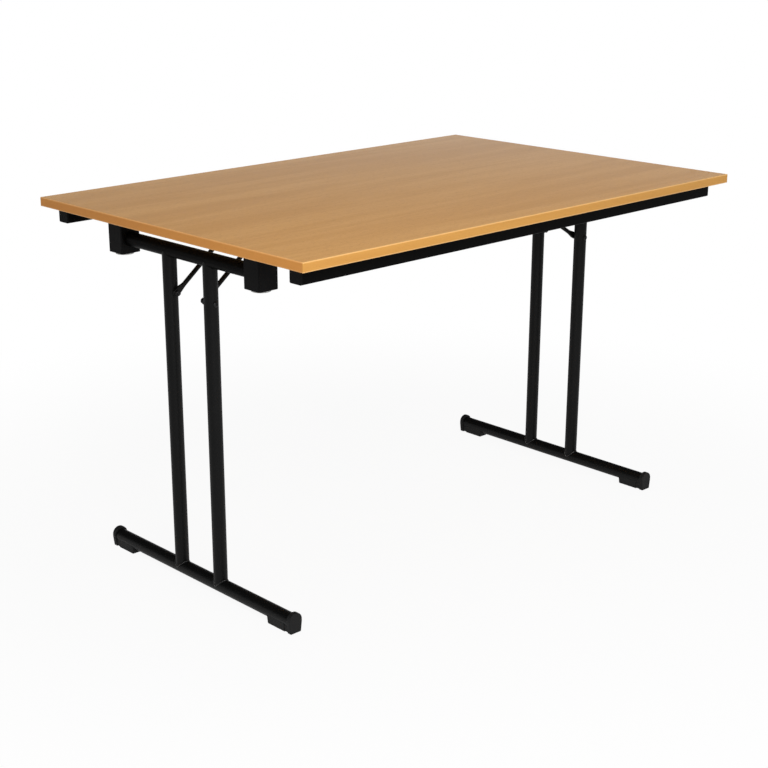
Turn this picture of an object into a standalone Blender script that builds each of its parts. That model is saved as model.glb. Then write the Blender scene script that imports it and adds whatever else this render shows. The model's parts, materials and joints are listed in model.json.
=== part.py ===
"""Folding table: a veneered board on two rails, with two T-shaped leg frames that fold up under it.

Units are metres. X runs along the table, Y across it and Z up. The origin is on the floor under the
middle of the top. The right frame folds first and lies nearer the board, the left one below it.
"""

import math

import bmesh
import bpy
import numpy as np
from mathutils import Vector

# Table top
TOP_LENGTH = 1.200
TOP_WIDTH = 0.800
TOP_HEIGHT = 0.736
BOARD_THICKNESS = 0.018
BAND_THICKNESS = 0.002

# Gaps between neighbours
FIT = 0.0003
GLUE_LINE = 0.0001
SLOT_PLAY = 0.0006

# Rails under the long sides, with their plastic end caps
RAIL_SIZE = 0.030
RAIL_WALL = 0.0015
RAIL_CORNER = 0.0025
RAIL_INSET_ENDS = 0.022
RAIL_INSET_SIDES = 0.031
RAIL_CAP_HEAD = 0.0035
RAIL_CAP_EDGE = 0.0010
RAIL_CAP_PLUG = 0.012
RAIL_SCREW_INSET = 0.200
RAIL_ACCESS_DIAMETER = 0.011

# Pivot blocks and the pads on their undersides
BLOCK_SIZE = 0.044
BLOCK_HEIGHT = 0.072
BLOCK_CORNER = 0.003
BLOCK_EDGE = 0.0012
BLOCK_OFFSET = 0.209
BLOCK_COUNTERBORE = 0.036
PAD_DIAMETER = 0.036
PAD_THICKNESS = 0.003
PAD_EDGE = 0.0008
PAD_PEG_DIAMETER = 0.005
PAD_PEG_LENGTH = 0.006

# Leg frames
AXIS_INSET = 0.0665
AXIS_DROP = 0.0435
TUBE_DIAMETER = 0.028
TUBE_WALL = 0.0015
CROSSBAR_BEARING = 0.026
COLUMN_OFFSET = 0.0625
FOOT_TUBE_LENGTH = 0.557
FOOT_AXIS_HEIGHT = 0.0225

# Foot caps
CAP_HEAD = 0.0092
CAP_ARCH_RADIUS = 0.0155
CAP_ARCH_HEIGHT = 0.0255
CAP_SHOULDER = 0.0205
CAP_EDGE = 0.0012
SOLE_WIDTH = 0.0256
SOLE_CORNER = 0.0025
SADDLE_LENGTH = 0.050
SADDLE_WIDTH = 0.0270
SADDLE_HEIGHT = 0.0150
NECK_LENGTH = 0.0105
NECK_RELIEF = 0.001
CAP_PLUG_LENGTH = 0.022
CAP_PLUG_WALL = 0.002

# Stays, which hold each leg frame upright
ROD_DIAMETER = 0.008
EYE_DIAMETER = 0.0165
EYE_THICKNESS = 0.006
EYE_GAP = 0.0004
STRUT_SET_IN = 0.0016
BOLT_DIAMETER = 0.006
BOLT_HEAD_DIAMETER = 0.012
BOLT_HEAD_HEIGHT = 0.0035
NUT_WIDTH = 0.010
NUT_HEIGHT = 0.0047
BOLT_END = 0.0013

LEFT_FOLD = 88.8
LEFT_PIVOT_DROP = 0.0815
LEFT_STAY_LENGTH = 0.1735
LEFT_ROD_DROP = 0.017
RIGHT_FOLD = 92.2
RIGHT_PIVOT_DROP = 0.1165
RIGHT_STAY_LENGTH = 0.2854
RIGHT_ROD_DROP = 0.013

# Guide brackets, whose curved slots carry the stays' cross rods
GUIDE_WIDTH = 0.072
GUIDE_THICKNESS = 0.002
GUIDE_MARGIN = 0.008
GUIDE_SCREW_INSET = 0.030

# Wood screws
SCREW_DIAMETER = 0.004
SCREW_HEAD_DIAMETER = 0.008
SCREW_HEAD_HEIGHT = 0.0022
SCREW_GRIP = 0.012

# Facets
TUBE_SIDES = 24
PIN_SIDES = 10
EYE_SIDES = 18
CORNER_STEPS = 2
PATH_STEPS = 10

# Places that follow from the sizes
UNDERSIDE = TOP_HEIGHT - BOARD_THICKNESS
AXIS_X = TOP_LENGTH / 2 - AXIS_INSET
AXIS_Z = UNDERSIDE - AXIS_DROP
TUBE_RADIUS = TUBE_DIAMETER / 2
ROD_RADIUS = ROD_DIAMETER / 2
RAIL_Y = TOP_WIDTH / 2 - RAIL_INSET_SIDES - RAIL_SIZE / 2
RAIL_Z = UNDERSIDE - FIT - RAIL_SIZE / 2
RAIL_HALF = TOP_LENGTH / 2 - RAIL_INSET_ENDS - RAIL_CAP_HEAD - FIT
BLOCK_TOP = UNDERSIDE - FIT
BLOCK_BOTTOM = UNDERSIDE - BLOCK_HEIGHT
CROSSBAR_HALF = BLOCK_OFFSET - BLOCK_SIZE / 2 + CROSSBAR_BEARING
BLOCK_SCREW_Y = (CROSSBAR_HALF + FIT + BLOCK_OFFSET + BLOCK_SIZE / 2) / 2
COLUMN_INNER = COLUMN_OFFSET - TUBE_RADIUS
EYE_OUTER = COLUMN_INNER - EYE_GAP
EYE_INNER = EYE_OUTER - EYE_THICKNESS
STRUT_Y = (EYE_OUTER + EYE_INNER) / 2 - STRUT_SET_IN

FINISHES = {
    "board_veneer": ((0.53, 0.31, 0.13), 0.45, 0.0),
    "edge_band": ((0.65, 0.33, 0.10), 0.45, 0.0),
    "black_steel": ((0.012, 0.012, 0.012), 0.5, 0.0),
    "black_plastic": ((0.010, 0.010, 0.010), 0.6, 0.0),
    "grey_plastic": ((0.020, 0.020, 0.020), 0.6, 0.0),
    "pad_rubber": ((0.55, 0.55, 0.53), 0.8, 0.0),
    "zinc_steel": ((0.60, 0.60, 0.58), 0.35, 1.0),
    "blackened_steel": ((0.015, 0.015, 0.016), 0.4, 0.6),
}


def clear_scene():
    for old in list(bpy.data.objects):
        bpy.data.objects.remove(old)


def body_origin(body):
    """World position of a body's empty, added up along its parents."""
    place = Vector()
    while body:
        place += body.location
        body = body.parent
    return place


def body_empty(name, at, parent=None):
    """An empty on a joint's axis, which carries the pieces that turn about it."""
    empty = bpy.data.objects.new(name, None)
    empty.empty_display_size = 0.05
    bpy.context.scene.collection.objects.link(empty)
    empty.parent = parent
    empty.location = Vector(at) - body_origin(parent)
    return empty


def finish(obj, kind):
    colour, roughness, metallic = FINISHES[kind]
    material = bpy.data.materials.new(f"{obj.name}_{kind}")
    material.use_nodes = True
    shader = material.node_tree.nodes["Principled BSDF"]
    shader.inputs["Base Color"].default_value = (*colour, 1.0)
    shader.inputs["Roughness"].default_value = roughness
    shader.inputs["Metallic"].default_value = metallic
    obj.data.materials.append(material)


def mesh_object(name, builder, at, body=None, turn=0.0):
    """Makes an object of a bmesh at a world position, turned about Y and carried by its body."""
    bmesh.ops.recalc_face_normals(builder, faces=builder.faces)
    mesh = bpy.data.meshes.new(name)
    builder.to_mesh(mesh)
    builder.free()
    mesh.shade_smooth()
    mesh.set_sharp_from_angle(angle=math.radians(35))
    obj = bpy.data.objects.new(name, mesh)
    bpy.context.scene.collection.objects.link(obj)
    obj.parent = body
    obj.location = Vector(at) - body_origin(body)
    obj.rotation_euler = (0.0, turn, 0.0)
    return obj


def piece(name, kind, builder, at=(0.0, 0.0, 0.0), body=None, turn=0.0):
    obj = mesh_object(name, builder, at, body, turn)
    finish(obj, kind)
    return obj


def helper(name, builder, at=(0.0, 0.0, 0.0), body=None, turn=0.0):
    """A shape that is only cut from a piece or joined to it."""
    obj = mesh_object(name, builder, at, body, turn)
    obj.hide_render = True
    obj.display_type = "WIRE"
    return obj


def combine(obj, other, operation):
    modifier = obj.modifiers.new(other.name, "BOOLEAN")
    modifier.operation = operation
    modifier.object = other


def circle(radius, sides):
    angles = np.arange(sides) * 2 * math.pi / sides
    return [(radius * math.cos(a), radius * math.sin(a)) for a in angles]


def rounded(corners, radius, steps=CORNER_STEPS):
    """An outline whose corners are replaced by short curves that leave each side at the radius's distance."""
    outline = []
    count = len(corners)
    for i, corner in enumerate(corners):
        here = Vector(corner)
        before = Vector(corners[i - 1]) - here
        after = Vector(corners[(i + 1) % count]) - here
        start = here + before.normalized() * radius
        end = here + after.normalized() * radius
        for s in np.linspace(0.0, 1.0, steps + 1):
            outline.append(tuple(start * (1 - s) ** 2 + here * 2 * s * (1 - s) + end * s**2))
    return outline


def rectangle(width, height, corner=0.0):
    half_w, half_h = width / 2, height / 2
    corners = [(-half_w, -half_h), (half_w, -half_h), (half_w, half_h), (-half_w, half_h)]
    return rounded(corners, corner) if corner else corners


def section(outline, axis, along):
    """The points of a flat outline, square to the axis and this far along it."""
    if axis == "X":
        return [(along, u, v) for u, v in outline]
    if axis == "Y":
        return [(u, along, v) for u, v in outline]
    return [(u, v, along) for u, v in outline]


def add_loft(builder, sections, ring=False):
    """Skins sections of equal point counts: with end faces, or as a ring whose last meets its first."""
    rows = [[builder.verts.new(p) for p in points] for points in sections]
    pairs = list(zip(rows, rows[1:]))
    if ring:
        pairs.append((rows[-1], rows[0]))
    else:
        builder.faces.new(rows[0])
        builder.faces.new(rows[-1])
    count = len(rows[0])
    for low, high in pairs:
        for i in range(count):
            j = (i + 1) % count
            builder.faces.new((low[i], low[j], high[j], high[i]))
    return builder


def loft(sections, ring=False):
    return add_loft(bmesh.new(), sections, ring)


def prism(outline, axis, start, end):
    return loft([section(outline, axis, start), section(outline, axis, end)])


def pipe(outer, inner, axis, start, end):
    """A straight tube: outline outside, outline of the bore, and its two ends."""
    return loft(
        [
            section(outer, axis, start),
            section(outer, axis, end),
            section(inner, axis, end),
            section(inner, axis, start),
        ],
        ring=True,
    )


def turned(profile, axis, sides=PIN_SIDES):
    """A turned solid from (radius, place along the axis) pairs, one end face to the other."""
    return loft([section(circle(r, sides), axis, along) for r, along in profile])


def pins(places, radius, start, end, sides=PIN_SIDES):
    """Upright round cutters at several (x, y) places, in one mesh."""
    builder = bmesh.new()
    for x, y in places:
        outline = [(x + u, y + v) for u, v in circle(radius, sides)]
        add_loft(builder, [section(outline, "Z", start), section(outline, "Z", end)])
    return builder


def wood_screw(name, x, y, seat, body=None):
    """A pan-head screw driven upwards: its head is under the seat and its tip in the board."""
    shank, head = SCREW_DIAMETER / 2, SCREW_HEAD_DIAMETER / 2
    tip = UNDERSIDE + SCREW_GRIP
    profile = [
        (head * 0.6, seat - FIT - SCREW_HEAD_HEIGHT),
        (head, seat - FIT - SCREW_HEAD_HEIGHT * 0.5),
        (head, seat - FIT),
        (shank, seat - FIT),
        (shank, tip - shank * 2),
        (shank * 0.3, tip),
    ]
    return piece(name, "zinc_steel", turned(profile, "Z"), (x, y, 0.0), body)


def frame_sizes(side):
    """Stay sizes of one side: fold angle, pivot drop, stay length and rod drop."""
    if side < 0:
        return LEFT_FOLD, LEFT_PIVOT_DROP, LEFT_STAY_LENGTH, LEFT_ROD_DROP
    return RIGHT_FOLD, RIGHT_PIVOT_DROP, RIGHT_STAY_LENGTH, RIGHT_ROD_DROP


def stay_angles(side):
    """The stay's slope to the floor with the leg upright and with the leg folded, in radians."""
    fold, pivot_drop, length, rod_drop = frame_sizes(side)
    rod_above_axis = AXIS_DROP - rod_drop
    folded_pivot = -pivot_drop * math.cos(math.radians(fold))
    upright = math.asin((rod_above_axis + pivot_drop) / length)
    folded = math.asin((rod_above_axis - folded_pivot) / length)
    return upright, folded


def stay_ratio(side):
    """Turn of the stay on its leg for each degree of fold."""
    upright, folded = stay_angles(side)
    fold = math.radians(frame_sizes(side)[0])
    return -(fold + upright - folded) / fold


def rod_path(side):
    """Centres of the cross rod from upright to folded, as (distance in from the fold axis, height)."""
    fold, pivot_drop, length, _ = frame_sizes(side)
    upright, folded = stay_angles(side)
    share = np.linspace(0.0, 1.0, PATH_STEPS)
    leg = share * math.radians(fold)
    slope = upright + share * (folded - upright)
    inwards = pivot_drop * np.sin(leg) + length * np.cos(slope)
    height = AXIS_Z - pivot_drop * np.cos(leg) + length * np.sin(slope)
    return np.stack([inwards, height], axis=1)


def normals_below(path):
    """Unit normals on the lower side of a path that runs inwards."""
    tangent = np.gradient(path, axis=0)
    tangent /= np.linalg.norm(tangent, axis=1, keepdims=True)
    return np.stack([tangent[:, 1], -tangent[:, 0]], axis=1)


def arc(centre, radius, start, end, steps=7):
    angles = np.linspace(start, end, steps)
    return centre + radius * np.stack([np.cos(angles), np.sin(angles)], axis=1)


def slot_outline(path, half):
    """A band of even width round the path, with round ends."""
    below = normals_below(path)
    first = math.atan2(below[0, 1], below[0, 0])
    last = math.atan2(below[-1, 1], below[-1, 0])
    return np.concatenate(
        [
            path[1:-1] + half * below[1:-1],
            arc(path[-1], half, last, last + math.pi),
            path[-2:0:-1] - half * below[-2:0:-1],
            arc(path[0], half, first + math.pi, first + 2 * math.pi),
        ]
    )


def guide_outline(path, reach, top):
    """The side of a guide: flat on top, and keeping this far below the path and beyond its ends."""
    below = normals_below(path)
    first = math.atan2(below[0, 1], below[0, 0])
    last = math.atan2(below[-1, 1], below[-1, 0])
    return np.concatenate(
        [
            [(path[0, 0] - reach, top)],
            arc(path[0], reach, -math.pi, first, 5),
            path[1:-1] + reach * below[1:-1],
            arc(path[-1], reach, last, 0.0, 5),
            [(path[-1, 0] + reach, top)],
        ]
    )


def guide_screw_places(side):
    inwards = rod_path(side)[:, 0]
    near, far = inwards.min() + GUIDE_SCREW_INSET, inwards.max() - GUIDE_SCREW_INSET
    return {"outer": side * (AXIS_X - near), "inner": side * (AXIS_X - far)}


def rail_screw_places(y):
    reach = TOP_LENGTH / 2 - RAIL_SCREW_INSET
    return {"left": (-reach, y), "right": (reach, y)}


def make_top():
    """The board with its blind screw holes, and the four bands that cover its edges."""
    core = BAND_THICKNESS + GLUE_LINE
    outline = rectangle(TOP_LENGTH - 2 * core, TOP_WIDTH - 2 * core)
    board = piece("table_top", "board_veneer", prism(outline, "Z", UNDERSIDE, TOP_HEIGHT))
    holes = [place for y in (-RAIL_Y, RAIL_Y) for place in rail_screw_places(y).values()]
    for side in (-1, 1):
        holes += [(side * AXIS_X, -BLOCK_SCREW_Y), (side * AXIS_X, BLOCK_SCREW_Y)]
        holes += [(x, 0.0) for x in guide_screw_places(side).values()]
    deep = UNDERSIDE + SCREW_GRIP + FIT
    drill = pins(holes, SCREW_DIAMETER / 2 + FIT, UNDERSIDE - 0.01, deep)
    combine(board, helper("board_drill", drill), "DIFFERENCE")

    long_band = rectangle(TOP_LENGTH, BAND_THICKNESS)
    short_band = rectangle(BAND_THICKNESS, TOP_WIDTH - 2 * core)
    reach_x = (TOP_LENGTH - BAND_THICKNESS) / 2
    reach_y = (TOP_WIDTH - BAND_THICKNESS) / 2
    bands = {
        "edge_band_front": (long_band, (0.0, -reach_y, 0.0)),
        "edge_band_rear": (long_band, (0.0, reach_y, 0.0)),
        "edge_band_left": (short_band, (-reach_x, 0.0, 0.0)),
        "edge_band_right": (short_band, (reach_x, 0.0, 0.0)),
    }
    for name, (outline, at) in bands.items():
        piece(name, "edge_band", prism(outline, "Z", UNDERSIDE, TOP_HEIGHT), at)


def make_rail(where, y):
    """A square tube with its two screws and end caps."""
    outer = rectangle(RAIL_SIZE, RAIL_SIZE, RAIL_CORNER)
    bore = RAIL_SIZE - 2 * RAIL_WALL
    inner = rectangle(bore, bore, RAIL_CORNER - RAIL_WALL)
    rail = piece(
        f"rail_{where}",
        "black_steel",
        pipe(outer, inner, "X", -RAIL_HALF, RAIL_HALF),
        (0.0, y, RAIL_Z),
    )
    spots = rail_screw_places(0.0)
    upper = RAIL_SIZE / 2 - RAIL_WALL
    holes = pins(spots.values(), SCREW_DIAMETER / 2 + FIT, upper - 0.002, RAIL_SIZE / 2 + 0.002)
    combine(rail, helper(f"rail_holes_{where}", holes, (0.0, y, RAIL_Z)), "DIFFERENCE")
    access = pins(spots.values(), RAIL_ACCESS_DIAMETER / 2, -RAIL_SIZE / 2 - 0.002, -upper + 0.002)
    combine(rail, helper(f"rail_access_{where}", access, (0.0, y, RAIL_Z)), "DIFFERENCE")
    for end, (x, _) in spots.items():
        wood_screw(f"rail_screw_{where}_{end}", x, y, RAIL_Z + upper)
    make_rail_caps(where, y, bore - 2 * FIT)


def make_rail_caps(where, y, plug_size):
    plug = rectangle(plug_size, plug_size, RAIL_CORNER - RAIL_WALL)
    head = rectangle(RAIL_SIZE, RAIL_SIZE, RAIL_CORNER)
    face_size = RAIL_SIZE - 2 * RAIL_CAP_EDGE
    face = rectangle(face_size, face_size, RAIL_CORNER - RAIL_CAP_EDGE)
    for end, side in (("left", -1), ("right", 1)):
        places = (
            (plug, -RAIL_CAP_PLUG),
            (plug, 0.0),
            (head, 0.0),
            (head, RAIL_CAP_HEAD - RAIL_CAP_EDGE),
            (face, RAIL_CAP_HEAD),
        )
        sections = [section(outline, "X", side * along) for outline, along in places]
        at = (side * (RAIL_HALF + FIT), y, RAIL_Z)
        piece(f"rail_cap_{where}_{end}", "black_plastic", loft(sections), at)


def make_block(side_name, side, where, across):
    """A pivot block with its bearing bore, its screw, and the pad pressed into its underside."""
    x, y = side * AXIS_X, across * BLOCK_OFFSET
    outline = rectangle(BLOCK_SIZE, BLOCK_SIZE, BLOCK_CORNER)
    foot_size = BLOCK_SIZE - 2 * BLOCK_EDGE
    foot = rectangle(foot_size, foot_size, BLOCK_CORNER - BLOCK_EDGE)
    solid = loft(
        [
            section(foot, "Z", BLOCK_BOTTOM),
            section(outline, "Z", BLOCK_BOTTOM + BLOCK_EDGE),
            section(outline, "Z", BLOCK_TOP),
        ]
    )
    tag = f"{side_name}_{where}"
    block = piece(f"pivot_block_{tag}", "black_plastic", solid, (x, y, 0.0))
    mouth = across * (-BLOCK_SIZE / 2 - 0.005)
    floor = across * (CROSSBAR_HALF + FIT - BLOCK_OFFSET)
    bore = prism(circle(TUBE_RADIUS + FIT, TUBE_SIDES), "Y", mouth, floor)
    combine(block, helper(f"bearing_bore_{tag}", bore, (x, y, AXIS_Z)), "DIFFERENCE")

    screw_y = across * BLOCK_SCREW_Y
    seat = BLOCK_BOTTOM + BLOCK_COUNTERBORE
    recess = pins([(0.0, 0.0)], SCREW_HEAD_DIAMETER / 2 + FIT, BLOCK_BOTTOM - 0.01, seat)
    combine(block, helper(f"screw_recess_{tag}", recess, (x, screw_y, 0.0)), "DIFFERENCE")
    shaft = pins([(0.0, 0.0)], SCREW_DIAMETER / 2 + FIT, seat - 0.005, BLOCK_TOP + 0.01)
    combine(block, helper(f"screw_shaft_{tag}", shaft, (x, screw_y, 0.0)), "DIFFERENCE")
    wood_screw(f"block_screw_{tag}", x, screw_y, seat)

    peg_top = BLOCK_BOTTOM + PAD_PEG_LENGTH
    peg = PAD_PEG_DIAMETER / 2
    peg_hole = pins([(0.0, 0.0)], peg + FIT, BLOCK_BOTTOM - 0.01, peg_top + FIT)
    combine(block, helper(f"peg_hole_{tag}", peg_hole, (x, y, 0.0)), "DIFFERENCE")
    rim, base = PAD_DIAMETER / 2, BLOCK_BOTTOM - FIT - PAD_THICKNESS
    profile = [
        (rim - PAD_EDGE, base),
        (rim, base + PAD_EDGE),
        (rim, BLOCK_BOTTOM - FIT),
        (peg, BLOCK_BOTTOM - FIT),
        (peg, peg_top),
    ]
    piece(f"stacking_pad_{tag}", "pad_rubber", turned(profile, "Z", TUBE_SIDES), (x, y, 0.0))


def cap_outline():
    """The foot cap's end: an arch over the tube, whose sides taper in to the sole."""
    arch = arc(np.array([0.0, CAP_ARCH_HEIGHT]), CAP_ARCH_RADIUS, 0.0, math.pi, 17)
    half = SOLE_WIDTH / 2
    left, right = Vector((-half, 0.0)), Vector((half, 0.0))
    left_side = (Vector((-CAP_ARCH_RADIUS, CAP_SHOULDER)) - left).normalized()
    right_side = (Vector((CAP_ARCH_RADIUS, CAP_SHOULDER)) - right).normalized()
    along = Vector((1.0, 0.0))
    sole = []
    for start, corner, end in (
        (left + left_side * SOLE_CORNER, left, left + along * SOLE_CORNER),
        (right - along * SOLE_CORNER, right, right + right_side * SOLE_CORNER),
    ):
        for s in np.linspace(0.0, 1.0, CORNER_STEPS + 1):
            sole.append(tuple(start * (1 - s) ** 2 + corner * 2 * s * (1 - s) + end * s**2))
    shoulders = [(-CAP_ARCH_RADIUS, CAP_SHOULDER)]
    return [tuple(p) for p in arch] + shoulders + sole + [(CAP_ARCH_RADIUS, CAP_SHOULDER)]


def saddle_outline(relief):
    """The part under the tube, drawn in by the relief on its outer sides and its sole."""
    sole, rim = SOLE_WIDTH / 2 - relief, SADDLE_WIDTH / 2 - relief
    corners = [(-sole, relief), (sole, relief), (rim, SADDLE_HEIGHT), (-rim, SADDLE_HEIGHT)]
    return rounded(corners, SOLE_CORNER / 2)


def make_foot_cap(side_name, side, where, across, body):
    """A cap on the end of the foot tube: head, neck and saddle in one moulding, with a plug in the tube."""
    tag = f"{side_name}_{where}"
    at = (side * AXIS_X, across * (FOOT_TUBE_LENGTH / 2 + FIT), 0.0)
    outline = cap_outline()
    top = CAP_ARCH_HEIGHT + CAP_ARCH_RADIUS
    narrower = (CAP_ARCH_RADIUS - CAP_EDGE) / CAP_ARCH_RADIUS
    lower = (top - CAP_EDGE) / top
    face = [(u * narrower, v * lower) for u, v in outline]
    head = loft(
        [
            section(outline, "Y", 0.0),
            section(outline, "Y", across * (CAP_HEAD - CAP_EDGE)),
            section(face, "Y", across * CAP_HEAD),
        ]
    )
    cap = piece(f"{side_name}_foot_cap_{where}", "grey_plastic", head, at, body)

    overlap = CAP_HEAD / 4
    neck_end, saddle_end = -NECK_LENGTH, -NECK_LENGTH - SADDLE_LENGTH
    runs = (
        (NECK_RELIEF, overlap),
        (NECK_RELIEF, neck_end),
        (0.0, neck_end),
        (0.0, saddle_end),
    )
    rows = [section(saddle_outline(relief), "Y", across * along) for relief, along in runs]
    saddle = helper(f"saddle_{tag}", loft(rows), at, body)
    clear = circle(TUBE_RADIUS + FIT, TUBE_SIDES)
    tube_space = prism(clear, "Y", across * (saddle_end - 0.01), 0.0)
    centre = (at[0], at[1], FOOT_AXIS_HEIGHT)
    combine(saddle, helper(f"tube_space_{tag}", tube_space, centre, body), "DIFFERENCE")
    combine(cap, saddle, "UNION")

    plug_radius = TUBE_RADIUS - TUBE_WALL - FIT
    plug = pipe(
        circle(plug_radius, TUBE_SIDES),
        circle(plug_radius - CAP_PLUG_WALL, TUBE_SIDES),
        "Y",
        across * -CAP_PLUG_LENGTH,
        across * overlap,
    )
    combine(cap, helper(f"plug_{tag}", plug, centre, body), "UNION")


def make_leg_frame(side_name, side, body):
    """The crossbar, two columns and foot tube of one frame, with its caps and pivot bolts."""
    x = side * AXIS_X
    outer = circle(TUBE_RADIUS, TUBE_SIDES)
    bore = circle(TUBE_RADIUS - TUBE_WALL, TUBE_SIDES)
    crossbar = pipe(outer, bore, "Y", -CROSSBAR_HALF, CROSSBAR_HALF)
    piece(f"{side_name}_crossbar", "black_steel", crossbar, (x, 0.0, AXIS_Z), body)
    foot_half = FOOT_TUBE_LENGTH / 2
    foot = pipe(outer, bore, "Y", -foot_half, foot_half)
    piece(f"{side_name}_foot_tube", "black_steel", foot, (x, 0.0, FOOT_AXIS_HEIGHT), body)

    pivot_z = AXIS_Z - frame_sizes(side)[1]
    cope = circle(TUBE_RADIUS + FIT, TUBE_SIDES)
    for where, across in (("front", -1), ("rear", 1)):
        y = across * COLUMN_OFFSET
        column = piece(
            f"{side_name}_column_{where}",
            "black_steel",
            pipe(outer, bore, "Z", FOOT_AXIS_HEIGHT, AXIS_Z),
            (x, y, 0.0),
            body,
        )
        tag = f"{side_name}_{where}"
        for end, z in (("top", AXIS_Z), ("foot", FOOT_AXIS_HEIGHT)):
            cutter = prism(cope, "Y", -TUBE_DIAMETER, TUBE_DIAMETER)
            combine(column, helper(f"cope_{end}_{tag}", cutter, (x, y, z), body), "DIFFERENCE")
        drill = prism(circle(BOLT_DIAMETER / 2 + FIT, PIN_SIDES), "Y", -TUBE_DIAMETER, TUBE_DIAMETER)
        combine(column, helper(f"bolt_hole_{tag}", drill, (x, y, pivot_z), body), "DIFFERENCE")
        make_pivot_bolt(side_name, where, across, (x, 0.0, pivot_z), body)
        make_foot_cap(side_name, side, where, across, body)


def make_pivot_bolt(side_name, where, across, at, body):
    """The bolt through a column, with its head outside, and the nut that holds the strut's eye."""
    shank, head = BOLT_DIAMETER / 2, BOLT_HEAD_DIAMETER / 2
    seat = COLUMN_OFFSET + TUBE_RADIUS + FIT
    nut_outer = EYE_INNER - FIT
    nut_inner = nut_outer - NUT_HEIGHT
    profile = [
        (head * 0.55, seat + BOLT_HEAD_HEIGHT),
        (head * 0.88, seat + BOLT_HEAD_HEIGHT * 0.72),
        (head, seat + BOLT_HEAD_HEIGHT * 0.2),
        (head, seat),
        (shank, seat),
        (shank, nut_inner - BOLT_END),
    ]
    along = [(radius, across * place) for radius, place in profile]
    piece(f"{side_name}_pivot_bolt_{where}", "blackened_steel", turned(along, "Y"), at, body)
    hexagon = circle(NUT_WIDTH / math.sqrt(3), 6)
    thread = circle(shank + FIT, PIN_SIDES)
    nut = piece(
        f"{side_name}_pivot_nut_{where}",
        "blackened_steel",
        prism(hexagon, "Y", across * nut_inner, across * nut_outer),
        at,
        body,
    )
    tap = prism(thread, "Y", across * (nut_inner - 0.005), across * (nut_outer + 0.005))
    combine(nut, helper(f"nut_thread_{side_name}_{where}", tap, at, body), "DIFFERENCE")


def make_stay(side_name, side, body):
    """Two struts on the leg's pivot bolts, joined at their upper eyes by the cross rod."""
    _, pivot_drop, length, _ = frame_sizes(side)
    upright, _ = stay_angles(side)
    turn = -upright if side < 0 else upright - math.pi
    pivot = (side * AXIS_X, 0.0, AXIS_Z - pivot_drop)
    eye = circle(EYE_DIAMETER / 2, EYE_SIDES)
    bite = NUT_WIDTH / math.sqrt(3) + 2 * FIT
    for where, across in (("front", -1), ("rear", 1)):
        tag = f"{side_name}_{where}"
        rod = [(across * STRUT_Y + u, v) for u, v in circle(ROD_RADIUS, PIN_SIDES)]
        strut = piece(
            f"{side_name}_strut_{where}",
            "black_steel",
            prism(rod, "X", bite, length - bite),
            pivot,
            body,
            turn,
        )
        low, high = across * EYE_INNER, across * EYE_OUTER
        for end, reach, hole in (
            ("lower", 0.0, BOLT_DIAMETER / 2 + FIT),
            ("upper", length, ROD_RADIUS + FIT),
        ):
            disc = prism([(u + reach, v) for u, v in eye], "Y", low, high)
            combine(strut, helper(f"eye_{end}_{tag}", disc, pivot, body, turn), "UNION")
            bored = [(u + reach, v) for u, v in circle(hole, PIN_SIDES)]
            drill = prism(bored, "Y", low - across * 0.01, high + across * 0.01)
            combine(strut, helper(f"eye_hole_{end}_{tag}", drill, pivot, body, turn), "DIFFERENCE")
    chamfer = ROD_RADIUS / 4
    rod_profile = [
        (ROD_RADIUS - chamfer, -EYE_OUTER),
        (ROD_RADIUS, chamfer - EYE_OUTER),
        (ROD_RADIUS, EYE_OUTER - chamfer),
        (ROD_RADIUS - chamfer, EYE_OUTER),
    ]
    inwards, height = rod_path(side)[0]
    at = (side * (AXIS_X - inwards), 0.0, height)
    piece(f"{side_name}_stay_rod", "blackened_steel", turned(rod_profile, "Y"), at, body)


def make_guide(side_name, side):
    """An inverted channel under the board, with a curved slot in each flange for the cross rod."""
    path = rod_path(side)
    slot_half = ROD_RADIUS + SLOT_PLAY
    top = UNDERSIDE - FIT
    under_web = top - GUIDE_THICKNESS

    def placed(points):
        return [(side * (AXIS_X - inwards), height) for inwards, height in points]

    half = GUIDE_WIDTH / 2
    outline = placed(guide_outline(path, slot_half + GUIDE_MARGIN, top))
    guide = piece(f"{side_name}_guide", "black_steel", prism(outline, "Y", -half, half))
    slot = prism(placed(slot_outline(path, slot_half)), "Y", -half - 0.01, half + 0.01)
    combine(guide, helper(f"guide_slot_{side_name}", slot), "DIFFERENCE")
    xs = [x for x, _ in outline]
    inside = half - GUIDE_THICKNESS
    channel = rectangle(max(xs) - min(xs) + 0.02, 2 * inside)
    middle = ((max(xs) + min(xs)) / 2, 0.0, 0.0)
    hollow = prism(channel, "Z", BLOCK_BOTTOM - 0.03, under_web)
    combine(guide, helper(f"guide_channel_{side_name}", hollow, middle), "DIFFERENCE")
    spots = guide_screw_places(side)
    drill = pins([(x, 0.0) for x in spots.values()], SCREW_DIAMETER / 2 + FIT, under_web - 0.01, top + 0.01)
    combine(guide, helper(f"guide_drill_{side_name}", drill), "DIFFERENCE")
    for where, x in spots.items():
        wood_screw(f"{side_name}_guide_screw_{where}", x, 0.0, under_web)


def make_side(side_name, side):
    axis = (side * AXIS_X, 0.0, AXIS_Z)
    leg = body_empty(f"{side_name}_leg_frame", axis)
    pivot = (axis[0], 0.0, AXIS_Z - frame_sizes(side)[1])
    stay = body_empty(f"{side_name}_stay", pivot, leg)
    for where, across in (("front", -1), ("rear", 1)):
        make_block(side_name, side, where, across)
    make_leg_frame(side_name, side, leg)
    make_stay(side_name, side, stay)
    make_guide(side_name, side)
    upright, folded = stay_angles(side)
    print(
        f"{side_name}: axis x {axis[0]:.4f} z {AXIS_Z:.4f}, pivot z {pivot[2]:.4f}, "
        f"stay {math.degrees(upright):.3f} to {math.degrees(folded):.3f} degrees, "
        f"ratio {stay_ratio(side):.6f}, range {stay_ratio(side) * frame_sizes(side)[0]:.4f}"
    )


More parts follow.
